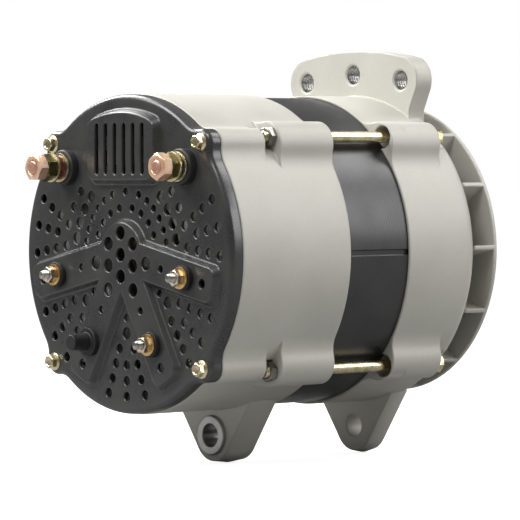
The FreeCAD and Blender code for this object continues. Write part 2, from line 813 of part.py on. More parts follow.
def slot_bars(x0, x1, inner, outer, width):
    bars = []
    for i in range(slot_count):
        bar = block(x0, x1, inner, outer, -width / 2, width / 2)
        bar.rotate(origin, axis_x, 360 / slot_count * i)
        bars.append(bar)
    return bars


def stator_core():
    """Laminated ring with open winding slots and a joint groove along each side."""
    ring = tube(core_x0, core_x1, core_r, core_bore_r)
    cuts = slot_bars(core_x0 - 1, core_x1 + 1, core_bore_r - 3, core_bore_r + slot_depth, slot_width)
    for side in (-1, 1):
        low, high = sorted((side * core_r, side * (core_r - seam_depth)))
        half = seam_width / 2
        cuts.append(block(core_x0 - 1, core_x1 + 1, low, high, -half, half))
    return ring.cut(cuts)


def stator_winding():
    """Copper in every slot, with a rounded bundle of end turns at each side of the core."""
    low = core_bore_r + 2.0
    high = core_bore_r + slot_depth - winding_clearance
    width = slot_width - 2 * winding_clearance
    bars = slot_bars(core_x0 - 1, core_x1 + 1, low, high, width)
    chamfer = 4.0
    bundles = []
    for x, side in ((core_x0 - 0.5, -1), (core_x1 + 0.5, 1)):
        tip = x + side * winding_overhang
        near_tip = tip - side * chamfer
        bundles.append(turned([(x, low), (x, high), (near_tip, high + 1), (tip, high + 1 - chamfer),
                               (tip, low + chamfer), (near_tip, low)]))
    return bundles[0].fuse([bundles[1]] + bars)


def through_bolts():
    solids = []
    for y, z in at_lobes(bolt_circle):
        shank = rod(rear_boss_x0 - bolt_nut_height - bolt_tip, drive_boss_x1, bolt_r, y, z)
        head = hexagon(drive_boss_x1, drive_boss_x1 + bolt_head_height, bolt_head_across, y, z)
        solids.append(shank.fuse(head))
    return solids


def through_bolt_nuts():
    start = rear_boss_x0 - bolt_nut_height
    return [nut(start, rear_boss_x0, bolt_head_across, bolt_r, y, z) for y, z in at_lobes(bolt_circle)]


def ball_pitch():
    return (front_bore_r + front_outer_r) / 2


def ball_places():
    x = (front_bearing_x0 + front_bearing_x1) / 2
    return [point(x, *polar(ball_pitch(), 90 + 360 / ball_count * i)) for i in range(ball_count)]


def ball_groove():
    x = (front_bearing_x0 + front_bearing_x1) / 2
    return Part.makeTorus(ball_pitch(), ball_r + race_play, point(x, 0, 0), axis_x)


def front_bearing_outer_race():
    ring = tube(front_bearing_x0, front_bearing_x1, front_outer_r, ball_pitch() + 0.75 * ball_r)
    return ring.cut(ball_groove())


def front_bearing_inner_race():
    ring = tube(front_bearing_x0, front_bearing_x1, ball_pitch() - 0.75 * ball_r, front_bore_r)
    return ring.cut(ball_groove())


def front_bearing_balls():
    return [Part.makeSphere(ball_r, place) for place in ball_places()]


def front_bearing_cage():
    half = ball_r + race_play + 0.8
    x = (front_bearing_x0 + front_bearing_x1) / 2
    ring = tube(x - half, x + half, ball_pitch() + 1.8, ball_pitch() - 1.8)
    return ring.cut([Part.makeSphere(ball_r + race_play, place) for place in ball_places()])


def front_bearing_seals():
    outer = ball_pitch() + 0.75 * ball_r
    inner = ball_pitch() - 0.75 * ball_r + 0.3
    return [tube(front_bearing_x0, front_bearing_x0 + seal_thickness, outer, inner),
            tube(front_bearing_x1 - seal_thickness, front_bearing_x1, outer, inner)]


def roller_pitch():
    return (rear_bore_r + rear_outer_r) / 2


def roller_places():
    return [polar(roller_pitch(), 360 / roller_count * i) for i in range(roller_count)]


def rear_bearing_outer_race():
    x = (rear_bearing_x0 + rear_bearing_x1) / 2
    half = roller_length / 2 + 0.2
    ring = tube(rear_bearing_x0, rear_bearing_x1, rear_outer_r, roller_pitch() + roller_r - 1.0)
    return ring.cut(rod(x - half, x + half, roller_pitch() + roller_r + race_play))


def rear_bearing_inner_race():
    return tube(rear_bearing_x0, rear_bearing_x1, roller_pitch() - roller_r - race_play, rear_bore_r)


def rear_bearing_rollers():
    x = (rear_bearing_x0 + rear_bearing_x1) / 2
    return [rod(x - roller_length / 2, x + roller_length / 2, roller_r, y, z) for y, z in roller_places()]


def rear_bearing_cage():
    x = (rear_bearing_x0 + rear_bearing_x1) / 2
    half = roller_length / 2 + 1.6
    ring = tube(x - half, x + half, roller_pitch() + 1.1, roller_pitch() - 1.1)
    slot = roller_length / 2 + race_play
    return ring.cut([rod(x - slot, x + slot, roller_r + race_play, y, z) for y, z in roller_places()])


def rotor_shaft():
    """Stepped shaft from the slip rings to the threaded end, with a keyway on the pulley seat."""
    seat_x1 = seat_length
    tip = seat_x1 + thread_neck + thread_length
    neck_r = thread_r - thread_neck_depth
    shoulder = rotor_x1 + 6
    body = turned([
        (shaft_x0, 0), (shaft_x0, rear_bore_r - 1), (shaft_x0 + 1, rear_bore_r),
        (rear_bearing_x1, rear_bore_r),
        (rear_bearing_x1, shaft_core_r - 3), (rotor_x0 - 4, shaft_core_r - 3), (rotor_x0 - 4, shaft_core_r),
        (shoulder, shaft_core_r), (shoulder, shaft_core_r + 2), (front_bearing_x0 - 8, shaft_core_r + 2),
        (front_bearing_x0 - 8, shaft_core_r), (front_bearing_x0, shaft_core_r),
        (front_bearing_x0, front_bore_r), (front_bearing_x1, front_bore_r), (front_bearing_x1, fan_seat_r),
        (0, fan_seat_r), (0, seat_r), (seat_x1 - seat_chamfer, seat_r), (seat_x1, seat_r - seat_chamfer),
        (seat_x1, neck_r), (seat_x1 + thread_neck, neck_r),
        (seat_x1 + thread_neck, thread_r - 1), (seat_x1 + thread_neck + 1, thread_r),
        (tip - thread_chamfer, thread_r), (tip, thread_r - thread_chamfer), (tip, 0)])
    half = keyway_width / 2
    slot = block(seat_x1 - keyway_length, seat_x1 + 1, -half, half, seat_r - keyway_depth, seat_r + 2)
    round_end = point(seat_x1 - keyway_length, 0, seat_r - keyway_depth)
    slot = slot.fuse(Part.makeCylinder(half, keyway_depth + 2, round_end))
    centre = Part.makeCone(centre_hole_r, 0, centre_hole_depth, point(tip, 0, 0), axis_x * -1)
    return body.cut([slot, centre])


def claw(angle, root_x, tip_x):
    """One claw: a tapered finger cut from a ring that thins towards its tip."""
    corners = [point(root_x, -claw_root_half, 0), point(root_x, claw_root_half, 0),
               point(tip_x, claw_tip_half, 0), point(tip_x, -claw_tip_half, 0)]
    finger = Part.Face(Part.makePolygon(corners + corners[:1])).extrude(point(0, 0, rotor_r + 2))
    finger.rotate(origin, axis_x, angle)
    return finger


def claw_pole(root_x, side, first_angle):
    """Pole half: a disc with a hub and a crown of claws that reach over the field coil."""
    tip_x = root_x + side * (rotor_length - claw_tip_setback)
    hub_end = core_mid_x
    inner_face = root_x + side * pole_disc
    disc_r = pole_disc_r
    ring = turned([(root_x, 0), (root_x, rotor_r - 2), (root_x + side * 2, rotor_r), (tip_x, rotor_r),
                   (tip_x, rotor_r - claw_tip_depth), (inner_face, disc_r), (inner_face, 0)])
    claws = []
    for i in range(pole_pairs):
        claws.append(claw(first_angle + 360 / pole_pairs * i, root_x, tip_x))
    crown = ring.common(claws[0].fuse(claws[1:]))
    disc = rod(min(root_x, inner_face), max(root_x, inner_face), disc_r)
    hub = rod(min(inner_face, hub_end), max(inner_face, hub_end), pole_hub_r)
    return crown.fuse([disc, hub]).cut(rod(rotor_x0 - 1, rotor_x1 + 1, shaft_core_r))


def rear_claw_pole():
    return claw_pole(rotor_x0, 1, 0)


def front_claw_pole():
    return claw_pole(rotor_x1, -1, 180 / pole_pairs)


def bobbin_span():
    return rotor_x0 + pole_disc + bobbin_clearance, rotor_x1 - pole_disc - bobbin_clearance


def field_bobbin():
    x0, x1 = bobbin_span()
    core = tube(x0, x1, pole_hub_r + bobbin_clearance + bobbin_wall, pole_hub_r + bobbin_clearance)
    flanges = [tube(x0, x0 + bobbin_wall, coil_r + 1, pole_hub_r + bobbin_clearance),
               tube(x1 - bobbin_wall, x1, coil_r + 1, pole_hub_r + bobbin_clearance)]
    return core.fuse(flanges)


def field_coil():
    x0, x1 = bobbin_span()
    return tube(x0 + bobbin_wall, x1 - bobbin_wall, coil_r, pole_hub_r + bobbin_clearance + bobbin_wall)


def slip_ring_core():
    inner = ring_r - ring_wall
    core = tube(outer_ring_x0 - 1.5, rear_bearing_x0 - 1, inner, rear_bore_r)
    divider = tube(outer_ring_x1, inner_ring_x0, ring_r - 0.8, inner)
    return core.fuse(divider)


def slip_rings():
    inner = ring_r - ring_wall
    spans = ((outer_ring_x0, outer_ring_x1), (inner_ring_x0, inner_ring_x1))
    return [tube(x0, x1, ring_r, inner) for x0, x1 in spans]


def brush_centres():
    return (outer_ring_x0 + outer_ring_x1) / 2, (inner_ring_x0 + inner_ring_x1) / 2


def brush(x):
    width, depth, height = brush_size
    worn_r = ring_r + brush_gap
    body = block(x - width / 2, x + width / 2, -depth / 2, depth / 2, ring_r - 1, worn_r + height)
    return body.cut(rod(x - width, x + width, worn_r))


def holder_top():
    return ring_r + brush_gap + brush_size[2] + holder_spring_room


def brush_holder():
    """Moulded box with a guide for each brush, on a foot that is screwed to the bearing wall."""
    outer_x, inner_x = brush_centres()
    width, depth, height = brush_size
    x0 = outer_x - width / 2 - holder_wall
    foot_x1 = rear_boss_face_x
    half = depth / 2 + holder_wall
    box = block(x0, foot_x1, -half, half, ring_r + 2, holder_top() + holder_cap)
    reach = brush_holder_reach() + small_screw_head_r + 1
    low = holder_z() - holder_foot_half_height
    high = holder_z() + holder_foot_half_height
    foot = block(foot_x1 - holder_foot, foot_x1, -reach, reach, low, high)
    body = box.fuse(foot)
    cuts = []
    for x in (outer_x, inner_x):
        side = width / 2 + brush_slack
        deep = depth / 2 + brush_slack
        cuts.append(block(x - side, x + side, -deep, deep, ring_r, holder_top()))
    cuts.append(rod(foot_x1 - 1, foot_x1 + 1, rear_outer_r))
    for y, z in holder_pads():
        cuts.append(rod(foot_x1 - holder_foot - 1, foot_x1 + 1, small_screw_r + small_screw_play, y, z))
    return body.cut(cuts)


def brush_holder_screws():
    foot_x1 = rear_boss_face_x
    return [cap_screw(foot_x1 - holder_foot, foot_x1 + small_screw_grip, y, z) for y, z in holder_pads()]


def brush_spring(x):
    """Coil spring between a brush and the holder's cap, as one sleeve that is ribbed like its turns."""
    low = ring_r + brush_gap + brush_size[2]
    pitch = (holder_top() - low) / spring_turns
    inner = spring_r - spring_wire
    corners = [point(inner, 0, low), point(spring_r, 0, low)]
    for i in range(spring_turns):
        corners.append(point(spring_r + spring_wire, 0, low + pitch * (i + 0.5)))
        corners.append(point(spring_r, 0, low + pitch * (i + 1)))
    corners.append(point(inner, 0, holder_top()))
    sleeve = Part.Face(Part.makePolygon(corners + corners[:1])).revolve(origin, point(0, 0, 1), 360)
    sleeve.translate(point(x, 0, 0))
    return sleeve


def heat_sink(mirrored, insulated):
    """Rectifier plate: a flat crescent with holes for its diodes, screws and stud."""
    plate = sector(sink_x0, sink_x1, sink_inner_r, sink_outer_r, *sink_span)
    cuts = [rod(sink_x0 - 1, sink_x1 + 1, diode_r, *polar(diode_circle, a)) for a in diode_angles]
    hole = small_screw_r + (sink_sleeve_wall if insulated else small_screw_play)
    cuts += [rod(sink_x0 - 1, sink_x1 + 1, hole, *polar(sink_pillar_circle, a)) for a in sink_pillar_angles]
    cuts.append(rod(sink_x0 - 1, sink_x1 + 1, stud_r, *polar(stud_circle, stud_angle)))
    plate = plate.cut(cuts)
    if mirrored:
        plate = plate.mirror(origin, point(0, 1, 0))
    return plate


def diodes(mirrored):
    solids = []
    for a in diode_angles:
        y, z = polar(diode_circle, 180 - a if mirrored else a)
        body = rod(sink_x0, sink_x1, diode_r, y, z)
        cap = rod(sink_x1, sink_x1 + diode_stand, diode_r - 1.5, y, z)
        solids.append(body.fuse([cap, rod(sink_x1, sink_x1 + diode_stand + diode_lead, diode_lead_r, y, z)]))
    return solids


def heat_sink_insulators():
    """Stepped bushes that hold the positive heat sink off the casting."""
    solids = []
    for a in sink_pillar_angles:
        y, z = polar(sink_pillar_circle, a)
        flange = rod(sink_x1, sink_x1 + sink_insulator_thickness, sink_insulator_r, y, z)
        sleeve = rod(sink_x0, sink_x1, small_screw_r + sink_sleeve_wall, y, z)
        cap = rod(sink_x0 - sink_cap_thickness, sink_x0, sink_insulator_r, y, z)
        bore = rod(sink_x0 - 2, sink_x1 + 3, small_screw_r + small_screw_play, y, z)
        solids.append(flange.fuse([sleeve, cap]).cut(bore))
    return solids


def heat_sink_screws():
    solids = []
    for a in sink_pillar_angles:
        y, z = polar(sink_pillar_circle, a)
        end = sink_x1 + sink_insulator_thickness + small_screw_grip
        solids.append(cap_screw(sink_x0 - sink_cap_thickness, end, y, z))
        y, z = polar(sink_pillar_circle, 180 - a)
        solids.append(cap_screw(sink_x0, sink_x1 + small_screw_grip, y, z))
    return solids


def voltage_regulator():
    """Potted block with rounded corners, across the inside of the louvre hood."""
    x0, x1 = regulator_x()
    depth, width, height = regulator_size
    body = block(x0, x1, -width / 2, width / 2, regulator_height - height / 2, regulator_height + height / 2)
    along = [e for e in body.Edges if abs(e.BoundBox.XLength - depth) < 0.01]
    body = body.makeFillet(regulator_corner, along)
    hole = small_screw_r + small_screw_play
    return body.cut([rod(x0 - 1, x1 + 1, hole, y, z) for y, z in regulator_screw_places()])


def regulator_screw_places():
    return [(side * regulator_screw_offset, regulator_height) for side in (-1, 1)]


def regulator_screws():
    x0, x1 = regulator_x()
    return [cap_screw(x0, x1 + small_screw_grip, y, z) for y, z in regulator_screw_places()]


def stack(side):
    """Stations of one power terminal, outward from the cover: spacer and lock nut differ by side."""
    spacer = positive_spacer if side > 0 else negative_spacer
    lock = positive_lock_nut if side > 0 else negative_lock_nut
    levels = [cover_x - insulator_rise]
    for step in (washer_thickness, spacer, washer_thickness, lock, power_nut_height):
        levels.append(levels[-1] - step)
    return levels


def power_stud(side):
    """Threaded stud with a flat head behind its heat sink."""
    y, z = power_terminal(side)
    shank = rod(stack(side)[5] - stud_tip, sink_x1, stud_r, y, z)
    head = hexagon(sink_x1, sink_x1 + stud_head_height, 2 * (stud_r + stud_head_margin), y, z)
    return shank.fuse(head)


def stud_insulators():
    solids = []
    for y, z in power_terminals():
        outside = rod(cover_x - insulator_rise, cover_x, insulator_r, y, z)
        outside = outside.makeFillet(insulator_edge, edges_at(outside, cover_x - insulator_rise))
        sleeve = rod(cover_x, sink_x0, insulator_sleeve_r, y, z)
        bore = rod(cover_x - insulator_rise - 1, sink_x0 + 1, stud_r, y, z)
        solids.append(outside.fuse(sleeve).cut(bore))
    return solids


def stud_washers():
    solids = []
    for side in (1, -1):
        levels = stack(side)
        for a, b in ((1, 0), (3, 2)):
            solids.append(tube(levels[a], levels[b], washer_r, stud_r, *power_terminal(side)))
    return solids


def stud_spacer(side):
    levels = stack(side)
    return tube(levels[2], levels[1], spacer_r, stud_r, *power_terminal(side))


def lock_nuts():
    return [nut(stack(s)[4], stack(s)[3], power_nut_across, stud_r, *power_terminal(s)) for s in (1, -1)]


def power_nuts():
    return [nut(stack(s)[5], stack(s)[4], power_nut_across, stud_r, *power_terminal(s)) for s in (1, -1)]


def small_levels():
    boss = cover_x - star_rise - small_boss_rise
    washer = boss - small_washer_thickness
    top = washer - small_nut_height
    return boss, washer, top


def small_terminal_studs():
    inner = cover_x - star_rise + cover_wall
    solids = []
    for y, z in small_terminals():
        head_x0 = inner + small_backing
        shank = rod(small_levels()[2] - small_stud_tip, head_x0, small_stud_r, y, z)
        solids.append(shank.fuse(rod(head_x0, head_x0 + small_stud_head, small_stud_head_r, y, z)))
    return solids


def small_terminal_insulators():
    face = cover_x - star_rise
    inner = face + cover_wall
    solids = []
    for y, z in small_terminals():
        body = rod(face - small_boss_rise, face, small_boss_r, y, z)
        sleeve = rod(face, inner, small_boss_sleeve_r, y, z)
        backing = rod(inner, inner + small_backing, small_boss_r, y, z)
        bore = rod(face - small_boss_rise - 1, inner + small_backing + 1, small_stud_r, y, z)
        solids.append(body.fuse([sleeve, backing]).cut(bore))
    return solids


def small_terminal_washers():
    boss, washer, top = small_levels()
    return [tube(washer, boss, small_washer_r, small_stud_r, y, z) for y, z in small_terminals()]


def small_terminal_nuts():
    boss, washer, top = small_levels()
    return [nut(top, washer, small_nut_across, small_stud_r, y, z) for y, z in small_terminals()]


def terminal_cap():
    """Moulded cap that closes the fourth arm's hole: a disc, a stub and a plug behind it."""
    face = cover_x - star_rise
    y, z = cap_place()
    base = rod(face - cap_base_rise, face, cap_base_r, y, z)
    tip = point(face - cap_base_rise - cap_stub_length, y, z)
    stub = Part.makeCone(cap_stub_r - cap_taper, cap_stub_r, cap_stub_length, tip, axis_x)
    return base.fuse([stub, rod(face, face + cover_wall + cap_plug_stand, cap_plug_r, y, z)])


def hinge_bushing():
    x1 = rear_rim_x - rear_lug_setback
    x0 = x1 - rear_lug_thickness - bushing_stand
    return tube(x0, x1, bushing_r, hinge_hole_r, 0, -hinge_drop)


def fan_blade(angle):
    """One blade: an upright plate that leans back slightly from the hub to the rim."""
    half = fan_blade_thickness / 2
    inner = polar(fan_blade_inner_r, 0)
    outer = polar(fan_r + 1, -fan_blade_lean)
    along = FreeCAD.Vector(0, outer[0] - inner[0], outer[1] - inner[1])
    length = along.Length
    blade = block(blade_x, disc_x + 0.5, 0, length, -half, half)
    blade.rotate(origin, axis_x, math.degrees(math.atan2(along.z, along.y)))
    blade.translate(point(0, inner[0], inner[1]))
    blade.rotate(origin, axis_x, angle)
    return blade


def fan():
    """Cast fan: a disc with a hub in front and radial blades behind, trimmed to one rim radius."""
    disc = rod(disc_x, disc_x + fan_disc, fan_r)
    blades = [fan_blade(360 / fan_blades * i + fan_first_blade) for i in range(fan_blades)]
    trimmed = blades[0].fuse(blades[1:]).common(rod(blade_x - 1, disc_x + 1, fan_r))
    hub = rod(-fan_hub_length, 0, fan_hub_r)
    return disc.fuse([trimmed, hub]).cut(rod(-fan_hub_length - 1, 1, fan_seat_r))


def fan_spacer():
    return tube(front_bearing_x1, -fan_hub_length, fan_spacer_r, fan_seat_r)


nodes = {
    "rear_cover": rear_cover(),
    "cover_screws": cover_screws(),
    "rear_housing": rear_housing(),
    "drive_housing": drive_housing(),
    "stator_core": stator_core(),
    "stator_winding": stator_winding(),
    "through_bolts": through_bolts(),
    "through_bolt_nuts": through_bolt_nuts(),
    "front_bearing_outer_race": front_bearing_outer_race(),
    "front_bearing_inner_race": front_bearing_inner_race(),
    "front_bearing_balls": front_bearing_balls(),
    "front_bearing_cage": front_bearing_cage(),
    "front_bearing_seals": front_bearing_seals(),
    "bearing_retainer": bearing_retainer(),
    "retainer_screws": retainer_screws(),
    "rear_bearing_outer_race": rear_bearing_outer_race(),
    "rear_bearing_inner_race": rear_bearing_inner_race(),
    "rear_bearing_rollers": rear_bearing_rollers(),
    "rear_bearing_cage": rear_bearing_cage(),
    "positive_heat_sink": heat_sink(False, True),
    "negative_heat_sink": heat_sink(True, False),
    "positive_diodes": diodes(False),
    "negative_diodes": diodes(True),
    "heat_sink_insulators": heat_sink_insulators(),
    "heat_sink_screws": heat_sink_screws(),
    "brush_holder": brush_holder(),
    "brush_holder_screws": brush_holder_screws(),
    "outer_brush": brush(brush_centres()[0]),
    "inner_brush": brush(brush_centres()[1]),
    "outer_brush_spring": brush_spring(brush_centres()[0]),
    "inner_brush_spring": brush_spring(brush_centres()[1]),
    "voltage_regulator": voltage_regulator(),
    "regulator_screws": regulator_screws(),
    "positive_stud": power_stud(1),
    "negative_stud": power_stud(-1),
    "stud_insulators": stud_insulators(),
    "stud_washers": stud_washers(),
    "positive_spacer": stud_spacer(1),
    "negative_spacer": stud_spacer(-1),
    "lock_nuts": lock_nuts(),
    "power_nuts": power_nuts(),
    "small_terminal_studs": small_terminal_studs(),
    "small_terminal_insulators": small_terminal_insulators(),
    "small_terminal_washers": small_terminal_washers(),
    "small_terminal_nuts": small_terminal_nuts(),
    "terminal_cap": terminal_cap(),
    "hinge_bushing": hinge_bushing(),
    "rotor_shaft": rotor_shaft(),
    "rear_claw_pole": rear_claw_pole(),
    "front_claw_pole": front_claw_pole(),
    "field_bobbin": field_bobbin(),
    "field_coil": field_coil(),
    "slip_ring_core": slip_ring_core(),
    "slip_rings": slip_rings(),
    "fan": fan(),
    "fan_spacer": fan_spacer(),
}

os.makedirs("parts", exist_ok=True)
for name, shape in nodes.items():
    solids = shape if isinstance(shape, list) else shape.Solids
    Part.makeCompound(solids).exportStep("parts/" + name + ".step")
    volume = round(sum(s.Volume for s in solids))
    state = "valid" if all(s.isValid() for s in solids) else "INVALID"
    print(name, len(solids), "solids", volume, "mm3", state)
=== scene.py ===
import json
import math

import bmesh
import bpy
import numpy as np
from mathutils import Matrix, Vector

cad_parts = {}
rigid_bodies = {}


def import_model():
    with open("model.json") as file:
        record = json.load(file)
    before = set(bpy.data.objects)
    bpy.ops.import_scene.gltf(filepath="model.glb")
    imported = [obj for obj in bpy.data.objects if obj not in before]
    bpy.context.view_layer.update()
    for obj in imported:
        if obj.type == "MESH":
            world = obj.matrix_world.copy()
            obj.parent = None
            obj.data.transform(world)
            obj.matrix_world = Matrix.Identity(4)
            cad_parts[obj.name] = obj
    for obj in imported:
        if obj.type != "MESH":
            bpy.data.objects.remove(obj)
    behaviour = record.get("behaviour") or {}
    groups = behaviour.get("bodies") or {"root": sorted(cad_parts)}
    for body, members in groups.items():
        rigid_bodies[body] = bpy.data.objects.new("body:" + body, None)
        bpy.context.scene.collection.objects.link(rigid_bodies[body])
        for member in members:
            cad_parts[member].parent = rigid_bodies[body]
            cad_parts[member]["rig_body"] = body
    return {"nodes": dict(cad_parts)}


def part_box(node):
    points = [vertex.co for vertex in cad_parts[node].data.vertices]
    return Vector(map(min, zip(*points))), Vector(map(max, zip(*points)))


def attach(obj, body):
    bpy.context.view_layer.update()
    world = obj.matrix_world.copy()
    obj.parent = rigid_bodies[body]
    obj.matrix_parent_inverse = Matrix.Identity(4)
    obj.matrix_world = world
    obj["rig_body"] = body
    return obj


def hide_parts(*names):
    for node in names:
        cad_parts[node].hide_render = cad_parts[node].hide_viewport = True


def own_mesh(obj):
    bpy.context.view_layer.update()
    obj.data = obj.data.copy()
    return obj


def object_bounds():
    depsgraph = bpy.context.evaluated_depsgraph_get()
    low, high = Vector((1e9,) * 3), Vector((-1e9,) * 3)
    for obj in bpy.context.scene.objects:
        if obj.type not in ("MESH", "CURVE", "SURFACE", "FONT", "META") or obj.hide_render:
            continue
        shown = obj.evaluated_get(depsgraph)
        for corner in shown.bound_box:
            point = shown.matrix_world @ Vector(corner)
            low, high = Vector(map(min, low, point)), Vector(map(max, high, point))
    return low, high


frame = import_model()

# A heavy-duty hinge-mounted alternator. Sizes are in millimetres and become metres as a mesh is made.
cadLow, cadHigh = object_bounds()
mm = 0.001
nodes = frame["nodes"]
scene = bpy.context.scene
scene.view_settings.view_transform = "Standard"
print("frame loaded:", len(nodes), "nodes")


def slotOf(nodeName):
    # A frame node's material is named for its slot
    return nodes[nodeName].data.materials[0].name


def boxOf(nodeName):
    # Lowest and highest corners of a node, in millimetres
    low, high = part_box(nodeName)
    return np.array(low) / mm, np.array(high) / mm


# Materials: every pattern reads Object coordinates, in metres. Patterns and bumps are given in millimetres.
plainFinish = {"metallic": 0.0, "specular": 0.5, "coat": 0.0, "coatRoughness": 0.2, "softEdge": 0.0,
               "wave": 0.0, "patchDetail": 4.0, "grainDetail": 3.0, "stretch": (1.0, 1.0, 1.0),
               "fleck": (0.9, 0.9, 0.9), "fleckSpan": (0.35, 0.6)}


def startLook(name, finish):
    # A shader with the finish's metal, gloss and coat, and the place that its patterns read
    values = {**plainFinish, **finish}
    material = bpy.data.materials.new(name)
    material.use_nodes = True
    tree = material.node_tree
    shader = tree.nodes["Principled BSDF"]
    shader.inputs["Metallic"].default_value = values["metallic"]
    shader.inputs["Specular IOR Level"].default_value = values["specular"]
    shader.inputs["Coat Weight"].default_value = values["coat"]
    shader.inputs["Coat Roughness"].default_value = values["coatRoughness"]
    place = tree.nodes.new("ShaderNodeTexCoord").outputs["Object"]
    return material, tree, shader, place


def noiseOf(tree, place, size, detail=3.0, stretch=(1.0, 1.0, 1.0)):
    # A noise whose features are about size millimetres across, drawn out along the axes by stretch
    mapping = tree.nodes.new("ShaderNodeMapping")
    mapping.inputs["Scale"].default_value = stretch
    tree.links.new(place, mapping.inputs["Vector"])
    texture = tree.nodes.new("ShaderNodeTexNoise")
    texture.inputs["Scale"].default_value = 1.0 / (size * mm)
    texture.inputs["Detail"].default_value = detail
    tree.links.new(mapping.outputs["Vector"], texture.inputs["Vector"])
    return texture.outputs[0]


def linesOf(tree, place, pitch, rings=False, distortion=0.0):
    # Sine bands one pitch apart along the shaft, or rings round it. At scale 1 Blender's wave has 20 radians
    # to the metre, so the scale is 2 pi / pitch / 20.
    radiansPerMetre = 20.0
    texture = tree.nodes.new("ShaderNodeTexWave")
    texture.wave_type = "RINGS" if rings else "BANDS"
    texture.rings_direction = "X"
    texture.bands_direction = "X"
    texture.inputs["Scale"].default_value = 2 * math.pi / (pitch * mm) / radiansPerMetre
    texture.inputs["Distortion"].default_value = distortion
    tree.links.new(place, texture.inputs["Vector"])
    return texture.outputs["Fac"]


def tonesOf(tree, factor, tones, low=0.3, high=0.7):
    # A colour ramp whose tones are evenly spread between two levels of the factor
    ramp = tree.nodes.new("ShaderNodeValToRGB")
    stops = ramp.color_ramp.elements
    while len(stops) < len(tones):
        stops.new(0.5)
    for i, tone in enumerate(tones):
        stops[i].position = low + (high - low) * i / (len(tones) - 1)
        stops[i].color = (*tone, 1.0)
    tree.links.new(factor, ramp.inputs["Fac"])
    return ramp.outputs["Color"]


def rangeOf(tree, value, low, high, fromLow=0.3, fromHigh=0.7):
    # The value's span between fromLow and fromHigh, moved evenly to low and high
    spread = tree.nodes.new("ShaderNodeMapRange")
    spread.inputs["From Min"].default_value = fromLow
    spread.inputs["From Max"].default_value = fromHigh
    spread.inputs["To Min"].default_value = low
    spread.inputs["To Max"].default_value = high
    tree.links.new(value, spread.inputs["Value"])
    return spread.outputs["Result"]


def mixOf(tree, factor, first, second, mode="MIX"):
    # Two colours mixed by a factor, each a fixed value or another node's output. Inputs 0, 6 and 7 are the
    # factor and the colours.
    mix = tree.nodes.new("ShaderNodeMix")
    mix.data_type = "RGBA"
    mix.blend_type = mode
    for socket, value in ((mix.inputs[0], factor), (mix.inputs[6], first), (mix.inputs[7], second)):
        if isinstance(value, bpy.types.NodeSocket):
            tree.links.new(value, socket)
        else:
            socket.default_value = value if isinstance(value, float) else (*value, 1.0)
    return mix.outputs[2]


def softEdges(tree, radius):
    # Shading normals that roll over every edge within a radius, as a cast or pressed edge does
    edges = tree.nodes.new("ShaderNodeBevel")
    edges.samples = 8
    edges.inputs["Radius"].default_value = radius * mm
    return edges.outputs["Normal"]


def bumpOf(tree, height, distance, under=None):
    # Raises the surface by up to distance millimetres, on top of another bump
    bump = tree.nodes.new("ShaderNodeBump")
    bump.inputs["Strength"].default_value = 1.0
    bump.inputs["Distance"].default_value = distance * mm
    tree.links.new(height, bump.inputs["Height"])
    if under is not None:
        tree.links.new(under, bump.inputs["Normal"])
    return bump.outputs["Normal"]


def worn(name, finish):
    # Soft patches set the colour, which a fine grain darkens in flecks. The mean of the two sets the
    # roughness, the grain the bump, and the patches a slower wave under it.
    values = {**plainFinish, **finish}
    material, tree, shader, place = startLook(name, values)
    patches = noiseOf(tree, place, values["patch"], values["patchDetail"])
    grain = noiseOf(tree, place, values["grain"], values["grainDetail"], values["stretch"])
    colour = tonesOf(tree, patches, values["tones"])
    fleck = tonesOf(tree, grain, (values["fleck"], (1.0, 1.0, 1.0)), *values["fleckSpan"])
    tree.links.new(mixOf(tree, 1.0, colour, fleck, "MULTIPLY"), shader.inputs["Base Color"])
    both = mixOf(tree, 0.5, patches, grain)
    tree.links.new(rangeOf(tree, both, *values["roughness"]), shader.inputs["Roughness"])
    normal = softEdges(tree, values["softEdge"]) if values["softEdge"] else None
    if values["wave"]:
        normal = bumpOf(tree, patches, values["wave"], normal)
    tree.links.new(bumpOf(tree, grain, values["bump"], normal), shader.inputs["Normal"])
    return material


